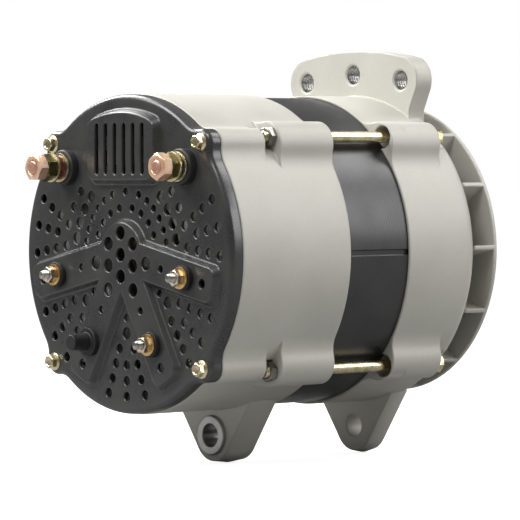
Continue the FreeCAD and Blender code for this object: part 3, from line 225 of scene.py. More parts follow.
castFinish = {"tones": ((0.535, 0.522, 0.472), (0.565, 0.552, 0.500), (0.592, 0.578, 0.526)),
              "patch": 38.0, "grain": 0.8, "roughness": (0.50, 0.62), "metallic": 0.22,
              "bump": 0.05, "wave": 0.25, "fleck": (0.95, 0.95, 0.94), "softEdge": 1.6}
coverFinish = {"tones": ((0.030, 0.031, 0.030), (0.038, 0.039, 0.038), (0.047, 0.047, 0.045)),
               "patch": 24.0, "grain": 0.55, "roughness": (0.24, 0.34), "specular": 0.7,
               "bump": 0.007, "wave": 0.10, "fleck": (0.92, 0.92, 0.92), "softEdge": 1.6}
finishes = {
    "cage_brass": {"tones": ((0.42, 0.27, 0.09), (0.55, 0.37, 0.14)), "patch": 9.0, "grain": 0.4,
                   "roughness": (0.28, 0.42), "metallic": 1.0, "bump": 0.01},
    "seal_rubber": {"tones": ((0.012, 0.012, 0.012), (0.022, 0.021, 0.020)), "patch": 8.0,
                    "grain": 0.5, "roughness": (0.55, 0.75), "bump": 0.03},
    "diode_nickel": {"tones": ((0.50, 0.49, 0.46), (0.62, 0.61, 0.58)), "patch": 7.0, "grain": 0.4,
                     "roughness": (0.25, 0.40), "metallic": 1.0, "bump": 0.01},
    "insulator_black": {"tones": ((0.010, 0.010, 0.010), (0.018, 0.018, 0.018)), "patch": 9.0,
                        "grain": 0.35, "roughness": (0.42, 0.58), "bump": 0.02},
    "spacer_red": {"tones": ((0.075, 0.012, 0.010), (0.13, 0.020, 0.014), (0.26, 0.055, 0.026)),
                   "patch": 5.0, "grain": 0.5, "roughness": (0.28, 0.42), "bump": 0.015, "coat": 0.4},
    "olive_nut": {"tones": ((0.085, 0.072, 0.022), (0.130, 0.108, 0.036), (0.190, 0.155, 0.055)),
                  "patch": 4.0, "grain": 0.4, "roughness": (0.30, 0.45), "metallic": 0.85, "bump": 0.012},
    "copper_nut": {"tones": ((0.86, 0.46, 0.28), (0.93, 0.60, 0.41), (0.97, 0.74, 0.57)),
                   "patch": 5.0, "grain": 0.4, "roughness": (0.24, 0.36), "metallic": 0.6, "bump": 0.010},
    "terminal_brass": {"tones": ((0.46, 0.27, 0.10), (0.66, 0.42, 0.17), (0.78, 0.56, 0.30)),
                       "patch": 4.0, "grain": 0.35, "roughness": (0.22, 0.36), "metallic": 1.0, "bump": 0.01},
    "stud_steel": {"tones": ((0.40, 0.38, 0.34), (0.58, 0.56, 0.52)), "patch": 5.0, "grain": 0.3,
                   "roughness": (0.24, 0.38), "metallic": 1.0, "bump": 0.01},
    "brush_carbon": {"tones": ((0.018, 0.017, 0.016), (0.034, 0.032, 0.030)), "patch": 4.0,
                     "grain": 0.3, "roughness": (0.50, 0.70), "bump": 0.03},
    "spring_steel": {"tones": ((0.32, 0.31, 0.29), (0.48, 0.47, 0.45)), "patch": 4.0, "grain": 0.25,
                     "roughness": (0.25, 0.36), "metallic": 1.0, "bump": 0.008},
    "pole_iron": {"tones": ((0.060, 0.056, 0.052), (0.095, 0.090, 0.084)), "patch": 18.0, "grain": 0.7,
                  "roughness": (0.42, 0.60), "metallic": 0.7, "bump": 0.04},
    "bright_steel": {"tones": ((0.46, 0.45, 0.43), (0.62, 0.61, 0.59)), "patch": 9.0, "grain": 0.35,
                     "roughness": (0.24, 0.38), "metallic": 1.0, "bump": 0.012},
    "sink_aluminium": {"tones": ((0.80, 0.80, 0.78), (0.92, 0.92, 0.90)), "patch": 12.0, "grain": 0.5,
                       "roughness": (0.26, 0.38), "metallic": 0.2, "bump": 0.02,
                       "stretch": (1.0, 0.15, 1.0)},
}

# Finishes of single pieces whose real ones have another tone than the rest of their slot. The through-bolt
# nuts' dark grey is partly grey zinc and partly painted shade of the shadowed notch that they sit in.
ownTones = {
    "paleNickel": ("terminal_brass", ((0.66, 0.50, 0.34), (0.78, 0.68, 0.54), (0.86, 0.80, 0.72))),
    "warmStud": ("copper_nut", ((0.52, 0.22, 0.14), (0.66, 0.35, 0.25), (0.80, 0.54, 0.42))),
    # Dark grey, partly zinc and partly painted shade of the notch round the through-bolt nuts
    "greyZincAndShade": ("bright_steel", ((0.22, 0.21, 0.19), (0.32, 0.31, 0.28))),
}
zincFinish = {"tones": ((0.44, 0.37, 0.17), (0.66, 0.57, 0.33), (0.78, 0.70, 0.48), (0.68, 0.49, 0.36)),
              "toneSpan": (0.32, 0.68), "drift": 7.0, "grain": 0.4, "grainDetail": 2.0,
              "roughness": (0.24, 0.32), "metallic": 1.0, "bump": 0.003}
coreFinish = {"tones": ((0.014, 0.015, 0.015), (0.021, 0.022, 0.021), (0.029, 0.029, 0.028)),
              "sheet": 1.3, "patch": 22.0, "patchDetail": 4.0, "grain": 0.7, "roughness": (0.30, 0.42),
              "specular": 0.65, "sheetBump": 0.03, "bump": 0.02}
lathe = {"patch": 10.0, "ringWobble": 1.0, "strokeWobble": 1.5, "metallic": 1.0}
turnedFinishes = {
    "bearingSteel": {"tones": ((0.52, 0.52, 0.51), (0.64, 0.64, 0.63)), "roughness": (0.12, 0.22),
                     "pitch": 0.5, "depth": 0.002},
    "shaftSteel": {"tones": ((0.44, 0.43, 0.41), (0.58, 0.57, 0.55)), "roughness": (0.20, 0.34),
                   "pitch": 0.4, "depth": 0.004},
    "slipCopper": {"tones": ((0.62, 0.30, 0.16), (0.82, 0.46, 0.28)), "roughness": (0.16, 0.30),
                   "pitch": 0.3, "depth": 0.004},
    # Darker than bright aluminium: partly machined metal, partly painted shade inside the ear holes
    "machinedAluminiumAndShade": {"tones": ((0.42, 0.42, 0.41), (0.56, 0.56, 0.55)), "roughness": (0.20, 0.32),
                          "pitch": 0.6, "depth": 0.002},
}
enamel = {"drift": 6.0, "driftDetail": 4.0, "grain": 0.6, "grainDetail": 2.0, "roughness": (0.24, 0.40),
          "bump": 0.02, "metallic": 0.85, "coatRoughness": 0.12}
wireFinishes = {
    "copperWire": {"tones": ((0.30, 0.10, 0.03), (0.52, 0.20, 0.07), (0.66, 0.30, 0.12)), "coat": 0.6},
    "coilVarnish": {"tones": ((0.16, 0.035, 0.012), (0.30, 0.075, 0.025)), "coat": 0.8},
}


def goldZinc():
    # Yellow dichromate: straw, with olive and pink drifts over a bright metal
    values = zincFinish
    material, tree, shader, place = startLook("goldZinc", values)
    drift = noiseOf(tree, place, values["drift"])
    grain = noiseOf(tree, place, values["grain"], values["grainDetail"])
    tree.links.new(tonesOf(tree, drift, values["tones"], *values["toneSpan"]), shader.inputs["Base Color"])
    tree.links.new(rangeOf(tree, grain, *values["roughness"]), shader.inputs["Roughness"])
    tree.links.new(bumpOf(tree, grain, values["bump"]), shader.inputs["Normal"])
    return material


def laminatedCore():
    # Black varnish over stacked sheets, whose edges show as fine bands along the shaft
    values = coreFinish
    material, tree, shader, place = startLook("laminatedCore", values)
    sheets = linesOf(tree, place, values["sheet"])
    patches = noiseOf(tree, place, values["patch"], values["patchDetail"])
    grain = noiseOf(tree, place, values["grain"])
    tree.links.new(tonesOf(tree, patches, values["tones"]), shader.inputs["Base Color"])
    tree.links.new(rangeOf(tree, patches, *values["roughness"]), shader.inputs["Roughness"])
    normal = bumpOf(tree, sheets, values["sheetBump"])
    tree.links.new(bumpOf(tree, grain, values["bump"], normal), shader.inputs["Normal"])
    return material


def turnedMetal(name):
    # Lathe-turned metal: fine rings round the shaft's axis and fine bands along it, over soft patches
    values = {**lathe, **turnedFinishes[name]}
    material, tree, shader, place = startLook(name, values)
    rings = linesOf(tree, place, values["pitch"], rings=True, distortion=values["ringWobble"])
    strokes = linesOf(tree, place, values["pitch"], distortion=values["strokeWobble"])
    patches = noiseOf(tree, place, values["patch"])
    tree.links.new(tonesOf(tree, patches, values["tones"]), shader.inputs["Base Color"])
    tree.links.new(rangeOf(tree, patches, *values["roughness"]), shader.inputs["Roughness"])
    normal = bumpOf(tree, rings, values["depth"])
    tree.links.new(bumpOf(tree, strokes, values["depth"], normal), shader.inputs["Normal"])
    return material


def enamelledWire(name):
    # Enamelled copper: warm drifts from strand to strand under a clear varnish
    values = {**enamel, **wireFinishes[name]}
    material, tree, shader, place = startLook(name, values)
    drift = noiseOf(tree, place, values["drift"], values["driftDetail"])
    grain = noiseOf(tree, place, values["grain"], values["grainDetail"])
    tree.links.new(tonesOf(tree, drift, values["tones"]), shader.inputs["Base Color"])
    tree.links.new(rangeOf(tree, drift, *values["roughness"]), shader.inputs["Roughness"])
    tree.links.new(bumpOf(tree, grain, values["bump"]), shader.inputs["Normal"])
    return material


looks = {name: worn(name, values) for name, values in finishes.items()}
looks["cast_aluminium"] = worn("castAluminium", castFinish)
looks["cover_black"] = worn("coverBlack", coverFinish)
looks["gold_zinc"] = goldZinc()
looks["core_black"] = laminatedCore()
looks["bearing_steel"] = turnedMetal("bearingSteel")
looks["shaft_steel"] = turnedMetal("shaftSteel")
looks["slip_copper"] = turnedMetal("slipCopper")
looks["copper_wire"] = enamelledWire("copperWire")
looks["coil_varnish"] = enamelledWire("coilVarnish")
looks["machinedAluminiumAndShade"] = turnedMetal("machinedAluminiumAndShade")
for name, (base, tones) in ownTones.items():
    looks[name] = worn(name, {**finishes[base], "tones": tones})
print("materials made:", len(looks))

# Meshes: points this close are one point, faces this flat to each other are one face, and an edge turns
# sharp at this angle
joining = {"gap": 0.002, "flatAngle": 0.3, "sharpAngle": 32.0}


def ringSkin(grid, closed):
    # Quads join each ring of the grid to the next. A closed strip joins its last ring to its first, and an
    # open one gets a fan of triangles round the middle of each end. Faces turn outwards if the volume,
    # a sixth of the sum of a . (b x c), comes out negative.
    rings, around = grid.shape[:2]
    points = grid.reshape(-1, 3)
    index = np.arange(rings * around).reshape(rings, around)
    low, high = (index, np.roll(index, -1, axis=0)) if closed else (index[:-1], index[1:])
    corners = [low, np.roll(low, -1, axis=1), np.roll(high, -1, axis=1), high]
    quads = np.stack(corners, axis=-1).reshape(-1, 4)
    faces = [quads]
    triangles = [quads[:, [0, 1, 2]], quads[:, [0, 2, 3]]]
    if not closed:
        middles = np.array([grid[0].mean(axis=0), grid[-1].mean(axis=0)])
        points = np.vstack([points, middles])
        for ring, middle, flip in ((index[0], rings * around, True), (index[-1], rings * around + 1, False)):
            after = np.roll(ring, -1)
            fan = np.stack([after, ring, np.full(around, middle)], axis=-1)
            fan = fan if flip else fan[:, [1, 0, 2]]
            faces.append(fan)
            triangles.append(fan)
    a, b, c = (points[np.vstack(triangles)[:, i]] for i in range(3))
    if np.einsum("ij,ij->i", a, np.cross(b, c)).sum() < 0:
        faces = [f[:, ::-1] for f in faces]
    return points, [face for block in faces for face in block.tolist()]


def addPiece(name, skins, look, body, covers=(), sharp=joining["sharpAngle"]):
    # One mesh from several skins: each skin's faces count on from the points before it
    vertices = []
    faces = []
    count = 0
    for points, skinFaces in skins:
        vertices.append(points * mm)
        faces += [[i + count for i in face] for face in skinFaces]
        count += len(points)
    mesh = bpy.data.meshes.new(name)
    mesh.from_pydata(np.vstack(vertices), [], faces)
    mesh.update()
    return placePiece(name, mesh, look, body, covers, sharp)


def placePiece(name, mesh, look, body, covers=(), sharp=joining["sharpAngle"]):
    # Smooth shading up to the sharp angle, then the look, the body that it rides and the nodes that it covers
    mesh.shade_smooth()
    mesh.set_sharp_from_angle(angle=math.radians(sharp))
    mesh.materials.append(look)
    piece = bpy.data.objects.new(name, mesh)
    scene.collection.objects.link(piece)
    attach(piece, body)
    if covers:
        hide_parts(*covers)
    return piece


def standFor(nodeName, name, skins, look=None):
    # A new piece with the node's own body, slot and finish
    slot = slotOf(nodeName)
    return addPiece(name, skins, look or looks[slot], nodes[nodeName]["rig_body"], (nodeName,))


def labelsOf(count, links):
    # Each item starts with its own number, and linked items share the lowest until none changes
    labels = np.arange(count)
    before = None
    while before is None or (before != labels).any():
        before = labels.copy()
        lowest = labels[links].min(axis=1)
        for column in range(links.shape[1]):
            np.minimum.at(labels, links[:, column], lowest)
    return labels


def roundedCopy(nodeName, name, width, segments):
    # The node's own surface with its triangles joined, flat regions made single faces, and edges rounded
    mesh = bpy.data.meshes.new(name)
    shape = bmesh.new()
    shape.from_mesh(nodes[nodeName].data)
    bmesh.ops.remove_doubles(shape, verts=shape.verts, dist=joining["gap"] * mm)
    flat = math.radians(joining["flatAngle"])
    bmesh.ops.dissolve_limit(shape, angle_limit=flat, verts=shape.verts, edges=shape.edges)
    shape.to_mesh(mesh)
    shape.free()
    for stale in ("custom_normal", "sharp_edge", "sharp_face"):
        if stale in mesh.attributes:
            mesh.attributes.remove(mesh.attributes[stale])
    slot = slotOf(nodeName)
    piece = placePiece(name, mesh, looks[slot], nodes[nodeName]["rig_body"], (nodeName,))
    bevel = piece.modifiers.new("roundEdges", "BEVEL")
    bevel.width = width * mm
    bevel.segments = segments
    bevel.limit_method = "ANGLE"
    bevel.angle_limit = math.radians(joining["sharpAngle"])
    bevel.use_clamp_overlap = False
    bevel.harden_normals = True
    return piece


def solidBoxes(nodeName):
    # Boxes of a node's separate solids: corners at one place are one point, and linked points are one solid.
    # They come in the order of their middles' y, then z.
    mesh = nodes[nodeName].data
    places = np.empty(len(mesh.vertices) * 3)
    mesh.vertices.foreach_get("co", places)
    places = places.reshape(-1, 3) / mm
    mesh.calc_loop_triangles()
    corners = np.empty(len(mesh.loop_triangles) * 3, int)
    mesh.loop_triangles.foreach_get("vertices", corners)
    merged = np.unique(np.round(places, 3), axis=0, return_inverse=True)[1].ravel()
    own = labelsOf(merged.max() + 1, merged[corners].reshape(-1, 3))[merged]
    boxes = [(places[own == k].min(axis=0), places[own == k].max(axis=0)) for k in np.unique(own)]
    return sorted(boxes, key=lambda box: tuple(np.round(box[0] + box[1], 1)[[1, 2]]))


# Turned shapes. A row is its place along the shaft, its radius, and how far it is hexagonal and threaded.
threadForm = {"rowsPerTurn": 8, "fadeTurns": 0.5, "fewestRows": 4}


def turnedRings(rows, centre, across=0.0, turn=0.0, pitch=1.0, depth=0.0, segments=72):
    # Rings round an axis along x. The radius at an angle is the row's own; on hexed rows it is no more than
    # half the width across flats over the cosine of the angle off the nearest flat's middle; threaded rows
    # lose depth times |2 f - 1|, where f is the fraction of x / pitch - angle / 360.
    x, radius, hexed, threaded = np.array(rows, float).T[:, :, None]
    angle = turn + np.arange(segments)[None, :] * 360.0 / segments
    flat = across / 2 / np.cos(np.radians((angle - turn) % 60 - 30))
    radius = np.where(hexed > 0, np.minimum(radius, flat), radius)
    part = (x / pitch - angle / 360) % 1
    radius = radius - threaded * depth * np.abs(2 * part - 1)
    y = centre[0] + radius * np.cos(np.radians(angle))
    z = centre[1] + radius * np.sin(np.radians(angle))
    return np.stack([np.broadcast_to(x, radius.shape), y, z], axis=-1)


def roundRows(*points):
    # Round, plain rows at the points' places and radii
    return [(x, radius, 0, 0) for x, radius in points]


def tipRows(x0, radius, tip):
    # Domed end: each step of the tip is its distance from the end and its depth below the full radius
    return roundRows(*[(x0 + step, radius - drop) for step, drop in tip])


def threadRows(x0, x1, radius, pitch, kind=1.0):
    # Evenly spaced threaded rows. The thread fades by the distance to the nearer end over the fade's length.
    count = max(threadForm["fewestRows"], int(abs(x1 - x0) / pitch * threadForm["rowsPerTurn"])) + 1
    x = np.linspace(x0, x1, count)
    fade = np.clip(np.minimum(abs(x - x0), abs(x - x1)) / (threadForm["fadeTurns"] * pitch), 0, 1)
    return [(a, radius, 0, kind * b) for a, b in zip(x, fade)]


def coneRows(x0, r0, x1, r1, steps=5):
    # Hexagonal rows whose radius runs evenly from one end to the other
    return [(x, r, 1, 0) for x, r in zip(np.linspace(x0, x1, steps), np.linspace(r0, r1, steps))]


def middleOf(box):
    # Middle of a box across the shaft: half the sum of its low and high y and z
    return (box[0][1:] + box[1][1:]) / 2


nut = {"coneStart": 0.94, "coneAngle": 30.0, "countersink": 0.35, "faceInset": 0.1, "faceDrop": 0.05,
       "turn": 30.0}


def nutSkin(box, bore, turn):
    # Hexagon nut: a cone cuts the corners at both faces, and the bore is countersunk. The cone starts inside
    # the flats and is (corner - start) times its angle's tangent long, with corner = across / sqrt 3.
    x0, x1 = box[0][0], box[1][0]
    across = box[1][1] - box[0][1]
    corner = across / math.sqrt(3)
    start = across / 2 * nut["coneStart"]
    run = (corner - start) * math.tan(math.radians(nut["coneAngle"]))
    face = start - nut["faceInset"]
    sink = nut["countersink"]
    rows = roundRows((x0 + sink, bore), (x0, bore + sink), (x0, face))
    rows += coneRows(x0 + nut["faceDrop"], start, x0 + run, corner)
    rows += coneRows(x1 - run, corner, x1 - nut["faceDrop"], start)
    rows += roundRows((x1, face), (x1, bore + sink), (x1 - sink, bore))
    return ringSkin(turnedRings(rows, middleOf(box), across=across, turn=nut["turn"] + turn), True)


washer = {"edge": 0.25, "shoulder": 0.3}


def washerSkin(box, bore, edge=washer["edge"]):
    # Washer or spacer: a tube as wide as its box. Two steps round each outer edge off, with a point in
    # between that lies the shoulder's share of the edge inside the corner both ways.
    x0, x1 = box[0][0], box[1][0]
    outer = (box[1][1] - box[0][1]) / 2
    inset = edge * washer["shoulder"]
    front = [(x0, bore + edge), (x0, outer - edge), (x0 + inset, outer - inset), (x0 + edge, outer)]
    back = [(x1 - edge, outer), (x1 - inset, outer - inset), (x1, outer - edge), (x1, bore + edge)]
    rows = roundRows(*front, *back, (x1 - edge, bore), (x0 + edge, bore))
    return ringSkin(turnedRings(rows, middleOf(box)), True)


def tubeSkin(path, outward, radius, sides):
    # Round tube: each ring lies across the path's tangent, on axes made from a given outward direction
    along = np.gradient(path, axis=0)
    along /= np.linalg.norm(along, axis=1)[:, None]
    out = outward - np.einsum("ij,ij->i", outward, along)[:, None] * along
    out /= np.linalg.norm(out, axis=1)[:, None]
    side = np.cross(along, out)
    angle = np.linspace(0, 2 * math.pi, sides, endpoint=False)[None, :, None]
    grid = path[:, None] + radius * (np.cos(angle) * out[:, None] + np.sin(angle) * side[:, None])
    return ringSkin(grid, False)


# Castings, cover and the larger moulded parts keep the frame's surfaces, with edges rounded by a width in
# millimetres and a number of facets
roundings = {
    "rear_housing": ("rearHousing", 0.25, 2), "drive_housing": ("driveHousing", 0.12, 2),
    "rear_cover": ("rearCover", 0.20, 2), "stator_core": ("statorCore", 0.35, 2),
    "fan": ("coolingFan", 0.25, 2), "hinge_bushing": ("hingeBushing", 0.6, 3),
    "voltage_regulator": ("voltageRegulator", 0.5, 2), "brush_holder": ("brushHolder", 0.4, 2),
    "outer_brush": ("outerBrush", 0.3, 2), "inner_brush": ("innerBrush", 0.3, 2),
    "positive_heat_sink": ("positiveHeatSink", 0.2, 2), "negative_heat_sink": ("negativeHeatSink", 0.2, 2),
    "terminal_cap": ("terminalCap", 0.6, 3), "small_terminal_insulators": ("smallInsulators", 0.4, 2),
    "rear_claw_pole": ("rearClawPole", 0.6, 2), "front_claw_pole": ("frontClawPole", 0.6, 2),
    "bearing_retainer": ("bearingRetainer", 0.4, 2), "rotor_shaft": ("rotorShaft", 0.2, 2),
}
for nodeName, (name, width, segments) in roundings.items():
    roundedCopy(nodeName, name, width, segments)
print("castings and mouldings dressed:", len(roundings))

# Power terminals
powerStud = {"radius": 4.0, "tip": ((0.0, 1.5), (0.15, 0.9), (0.6, 0.35)), "threaded": 26.0, "pitch": 1.25,
             "depth": 0.55, "head": 3.5, "headEdge": 0.4, "turn": 30.0}
powerNut = {"bore": 4.02, "turns": (0.0, 30.0), "lockTurns": (18.0, 6.0)}
powerWasher = {"bore": 4.02, "edge": 0.35}
studInsulator = {"bore": 4.02, "sleeve": 7.0, "rise": 5.0, "crown": 1.4, "crownRows": 6, "boreEdge": 0.3,
                 "footEdge": 0.2}


def powerNuts(nodeName, name, turns):
    # A nut for each solid of the node, each with its own turn
    skins = [nutSkin(box, powerNut["bore"], turn) for box, turn in zip(solidBoxes(nodeName), turns)]
    return standFor(nodeName, name, skins)


def studSkin(box):
    # Stud: domed tip, thread, plain shank behind it, and a hexagon head with coned corners at its inner end
    x0, x1 = box[0][0], box[1][0]
    across = box[1][1] - box[0][1]
    corner = across / math.sqrt(3)
    radius = powerStud["radius"]
    headX = x1 - powerStud["head"]
    edge = powerStud["headEdge"]
    rows = tipRows(x0, radius, powerStud["tip"])
    rows += threadRows(x0 + powerStud["tip"][-1][0], x0 + powerStud["threaded"], radius, powerStud["pitch"])
    rows += roundRows((headX, radius))
    rows += coneRows(headX, across / 2, headX + edge, corner)
    rows += coneRows(x1 - edge, corner, x1, across / 2)
    grid = turnedRings(rows, middleOf(box), across=across, turn=powerStud["turn"], pitch=powerStud["pitch"],
                       depth=powerStud["depth"])
    return ringSkin(grid, False)


def insulatorSkin(box):
    # Moulded bush: a collar whose outer edge is a quarter circle, and the sleeve through the cover
    x0, x1 = box[0][0], box[1][0]
    outer = (box[1][1] - box[0][1]) / 2
    angle = np.radians(np.linspace(90, 0, studInsulator["crownRows"]))
    bore, sleeve, crown = (studInsulator[key] for key in ("bore", "sleeve", "crown"))
    edge, foot = studInsulator["boreEdge"], studInsulator["footEdge"]
    behind = x0 + studInsulator["rise"]
    rows = roundRows((x0 + edge, bore), (x0, bore + edge))
    rows += roundRows(*[(x0 + crown * (1 - math.sin(a)), outer - crown + crown * math.cos(a)) for a in angle])
    rows += roundRows((behind - foot, outer), (behind, outer - foot), (behind, sleeve))
    rows += roundRows((x1, sleeve), (x1, bore))
    return ringSkin(turnedRings(rows, middleOf(box)), True)


powerNuts("power_nuts", "powerNuts", powerNut["turns"])
powerNuts("lock_nuts", "lockNuts", powerNut["lockTurns"])
for nodeName, name in (("positive_stud", "positiveStud"), ("negative_stud", "negativeStud")):
    standFor(nodeName, name, [studSkin(boxOf(nodeName))], looks["warmStud"])
for nodeName, name in (("positive_spacer", "positiveSpacer"), ("negative_spacer", "negativeSpacer"),
                       ("stud_washers", "studWashers")):
    standFor(nodeName, name, [washerSkin(box, **powerWasher) for box in solidBoxes(nodeName)])
standFor("stud_insulators", "studInsulators", [insulatorSkin(box) for box in solidBoxes("stud_insulators")])
print("power terminals made")

# Small terminals
smallTerminal = {"bore": 2.42, "radius": 2.4, "tip": ((0.0, 1.1), (0.2, 0.6), (0.5, 0.2)), "threaded": 9.0,
                 "pitch": 0.8, "depth": 0.35, "head": 2.5, "headEdge": 0.3, "turns": (12.0, 30.0, 48.0),
                 "segments": 48}


def smallStudSkin(box):
    # Stud with a domed threaded end and a round head behind the cover
    x0, x1 = box[0][0], box[1][0]
    outer = (box[1][1] - box[0][1]) / 2
    radius = smallTerminal["radius"]
    headX = x1 - smallTerminal["head"]
    edge = smallTerminal["headEdge"]
    rows = tipRows(x0, radius, smallTerminal["tip"])
    rows += threadRows(x0 + smallTerminal["tip"][-1][0], x0 + smallTerminal["threaded"], radius,
                       smallTerminal["pitch"])
    rows += roundRows((headX, radius), (headX, outer - edge), (headX + edge, outer), (x1 - edge, outer),
                      (x1, outer - edge))
    grid = turnedRings(rows, middleOf(box), pitch=smallTerminal["pitch"], depth=smallTerminal["depth"],
                       segments=smallTerminal["segments"])
    return ringSkin(grid, False)


skins = [smallStudSkin(box) for box in solidBoxes("small_terminal_studs")]
standFor("small_terminal_studs", "smallStuds", skins)
skins = [nutSkin(box, smallTerminal["bore"], turn)
         for box, turn in zip(solidBoxes("small_terminal_nuts"), smallTerminal["turns"])]
standFor("small_terminal_nuts", "smallNuts", skins, looks["paleNickel"])
skins = [washerSkin(box, smallTerminal["bore"]) for box in solidBoxes("small_terminal_washers")]
standFor("small_terminal_washers", "smallWashers", skins)
print("small terminals made")

# Screws and bolts
coverScrew = {"across": 7.0, "head": 3.5, "flange": 1.0, "shank": 2.5, "pitch": 0.8, "depth": 0.4,
              "turns": (20.0, 5.0, 41.0, 12.0),
              "dish": ((0.5, 1.4), (0.4, 2.2), (0.0, 2.6)),  # depth below the head's top, radius
              "coneStart": 0.9, "cone": 0.7,  # share of half the width, height
              "neck": ((0.5, 0.0), (0.1, 0.1)),  # distance before the head's foot, more radius
              "flare": (0.15, 0.7),  # distance behind the foot, less radius
              "rim": ((0.45, 0.1), (0.2, 0.0), (0.0, 0.15)),  # distance before the face, less radius
              "threadGap": 0.2, "end": 0.6, "endDrop": 0.8}
throughBolt = {"across": 10.0, "head": 6.0, "shank": 3.2, "pitch": 1.0, "depth": 0.5, "threaded": 16.0,
               "turns": (8.0, 25.0, 0.0, 17.0), "end": 0.6, "endDrop": 0.7, "threadGap": 0.5,
               "washerFace": 0.3, "washerShare": 0.93,  # height, share of half the width
               "footStart": 0.95, "foot": 0.8,  # share of half the width, height
               "coneEnd": 0.88, "cone": 1.0, "dish": 0.3, "dishShare": 0.7, "nutGap": 0.02}
capScrew = {"head": 3.0, "shank": 2.0, "pitch": 0.7, "depth": 0.3, "recess": 1.6, "recessAcross": 3.0,
            "recessShares": (0.56, 0.58, 0.64), "recessEdge": 0.15, "topEdge": 0.4, "footEdge": 0.2,
            "threadGap": 0.2, "end": 0.5, "endDrop": 0.6, "segments": 48}


def coverScrewSkin(box, turn):
    # Hexagon head with a dished top and a cone on its corners, a flange that flares out of it, and a thread
    x0, x1 = box[0][0], box[1][0]
    outer = (box[1][1] - box[0][1]) / 2
    across, shank, pitch = (coverScrew[key] for key in ("across", "shank", "pitch"))
    corner = across / math.sqrt(3)
    foot = x0 + coverScrew["head"]
    face = foot + coverScrew["flange"]
    flare, flareDrop = coverScrew["flare"]
    rows = roundRows(*[(x0 + below, radius) for below, radius in coverScrew["dish"]])
    rows += coneRows(x0, across / 2 * coverScrew["coneStart"], x0 + coverScrew["cone"], corner)
    rows += [(foot - before, corner + more, 1, 0) for before, more in coverScrew["neck"]]
    rows += roundRows((foot + flare, outer - flareDrop))
    rows += roundRows(*[(face - before, outer - less) for before, less in coverScrew["rim"]], (face, shank))
    rows += threadRows(face + coverScrew["threadGap"], x1 - coverScrew["end"], shank, pitch)
    rows += roundRows((x1, shank - coverScrew["endDrop"]))
    grid = turnedRings(rows, middleOf(box), across=across, turn=turn, pitch=pitch, depth=coverScrew["depth"])
    return ringSkin(grid, False)


def throughBoltSkin(box, turn):
    # Long bolt: a chamfered threaded end, a plain shank, and a hexagon head with a washer face and cones
    x0, x1 = box[0][0], box[1][0]
    across, shank, pitch = (throughBolt[key] for key in ("across", "shank", "pitch"))
    corner = across / math.sqrt(3)
    headX = x1 - throughBolt["head"]
    faceX = headX + throughBolt["washerFace"]
    faceRadius = across / 2 * throughBolt["washerShare"]
    threadEnd = x0 + throughBolt["threaded"]
    rows = roundRows((x0, shank - throughBolt["endDrop"]))
    rows += threadRows(x0 + throughBolt["end"], threadEnd, shank, pitch)
    rows += roundRows((threadEnd + throughBolt["threadGap"], shank), (headX, shank), (headX, faceRadius),
                      (faceX, faceRadius))
    rows += coneRows(faceX, across / 2 * throughBolt["footStart"], headX + throughBolt["foot"], corner)
    rows += coneRows(x1 - throughBolt["cone"], corner, x1, across / 2 * throughBolt["coneEnd"])
    rows += roundRows((x1 - throughBolt["dish"], across / 2 * throughBolt["dishShare"]))
    grid = turnedRings(rows, middleOf(box), across=across, turn=turn, pitch=pitch, depth=throughBolt["depth"])
    return ringSkin(grid, False)


def capScrewSkin(box):
    # Cap screw: a round head with a hexagon socket sunk into it, and a threaded shank
    x0, x1 = box[0][0], box[1][0]
    outer = (box[1][1] - box[0][1]) / 2
    face = x0 + capScrew["head"]
    socket, shank, pitch = (capScrew[key] for key in ("recessAcross", "shank", "pitch"))
    floorShare, wallShare, mouthShare = capScrew["recessShares"]
    top, foot = capScrew["topEdge"], capScrew["footEdge"]
    rows = [(x0 + capScrew["recess"], socket * floorShare, 1, 0),
            (x0 + capScrew["recessEdge"], socket * wallShare, 1, 0)]
    rows += roundRows((x0, socket * mouthShare), (x0, outer - top), (x0 + top, outer), (face - foot, outer),
                      (face, outer - foot), (face, shank))
    rows += threadRows(face + capScrew["threadGap"], x1 - capScrew["end"], shank, pitch)
    rows += roundRows((x1, shank - capScrew["endDrop"]))
    grid = turnedRings(rows, middleOf(box), across=socket, pitch=pitch, depth=capScrew["depth"],
                       segments=capScrew["segments"])
    return ringSkin(grid, False)


skins = [coverScrewSkin(box, turn) for box, turn in zip(solidBoxes("cover_screws"), coverScrew["turns"])]
standFor("cover_screws", "coverScrews", skins)
skins = [throughBoltSkin(box, turn) for box, turn in zip(solidBoxes("through_bolts"), throughBolt["turns"])]
standFor("through_bolts", "throughBolts", skins)
skins = [nutSkin(box, throughBolt["shank"] + throughBolt["nutGap"], turn)
         for box, turn in zip(solidBoxes("through_bolt_nuts"), throughBolt["turns"])]
# The through-bolt nuts get a dark grey that is partly painted shade of the notch round them
standFor("through_bolt_nuts", "throughBoltNuts", skins, looks["greyZincAndShade"])
for nodeName, name in (("retainer_screws", "retainerScrews"), ("heat_sink_screws", "heatSinkScrews"),
                       ("brush_holder_screws", "brushHolderScrews"), ("regulator_screws", "regulatorScrews")):
    standFor(nodeName, name, [capScrewSkin(box) for box in solidBoxes(nodeName)])
print("screws and bolts made")

# Threads that the frame leaves plain
earThread = {"crest": 4.95, "root": 5.33, "wall": 0.06, "pitch": 1.9, "endGap": 0.9, "segments": 64,
             "sharp": 40.0,
             "spread": 11.2, "stand": 12.4,  # degrees between holes, height over the housing
             "hingeStand": 14.4,  # hinge axis below the housing's rim
             "faceInset": 2.0, "thickness": 12.0}  # ear's face behind the casting's, thickness
shaftThread = {"crest": 9.95, "root": 9.45, "pitch": 1.5, "length": 21.0, "chamfer": 1.2, "lead": 0.4,
               "fadeLimit": 0.1, "fadeDrop": 0.9,  # below this much thread, sink by this share
               "wallEnd": 0.2, "wallDrop": 0.4, "segments": 96}


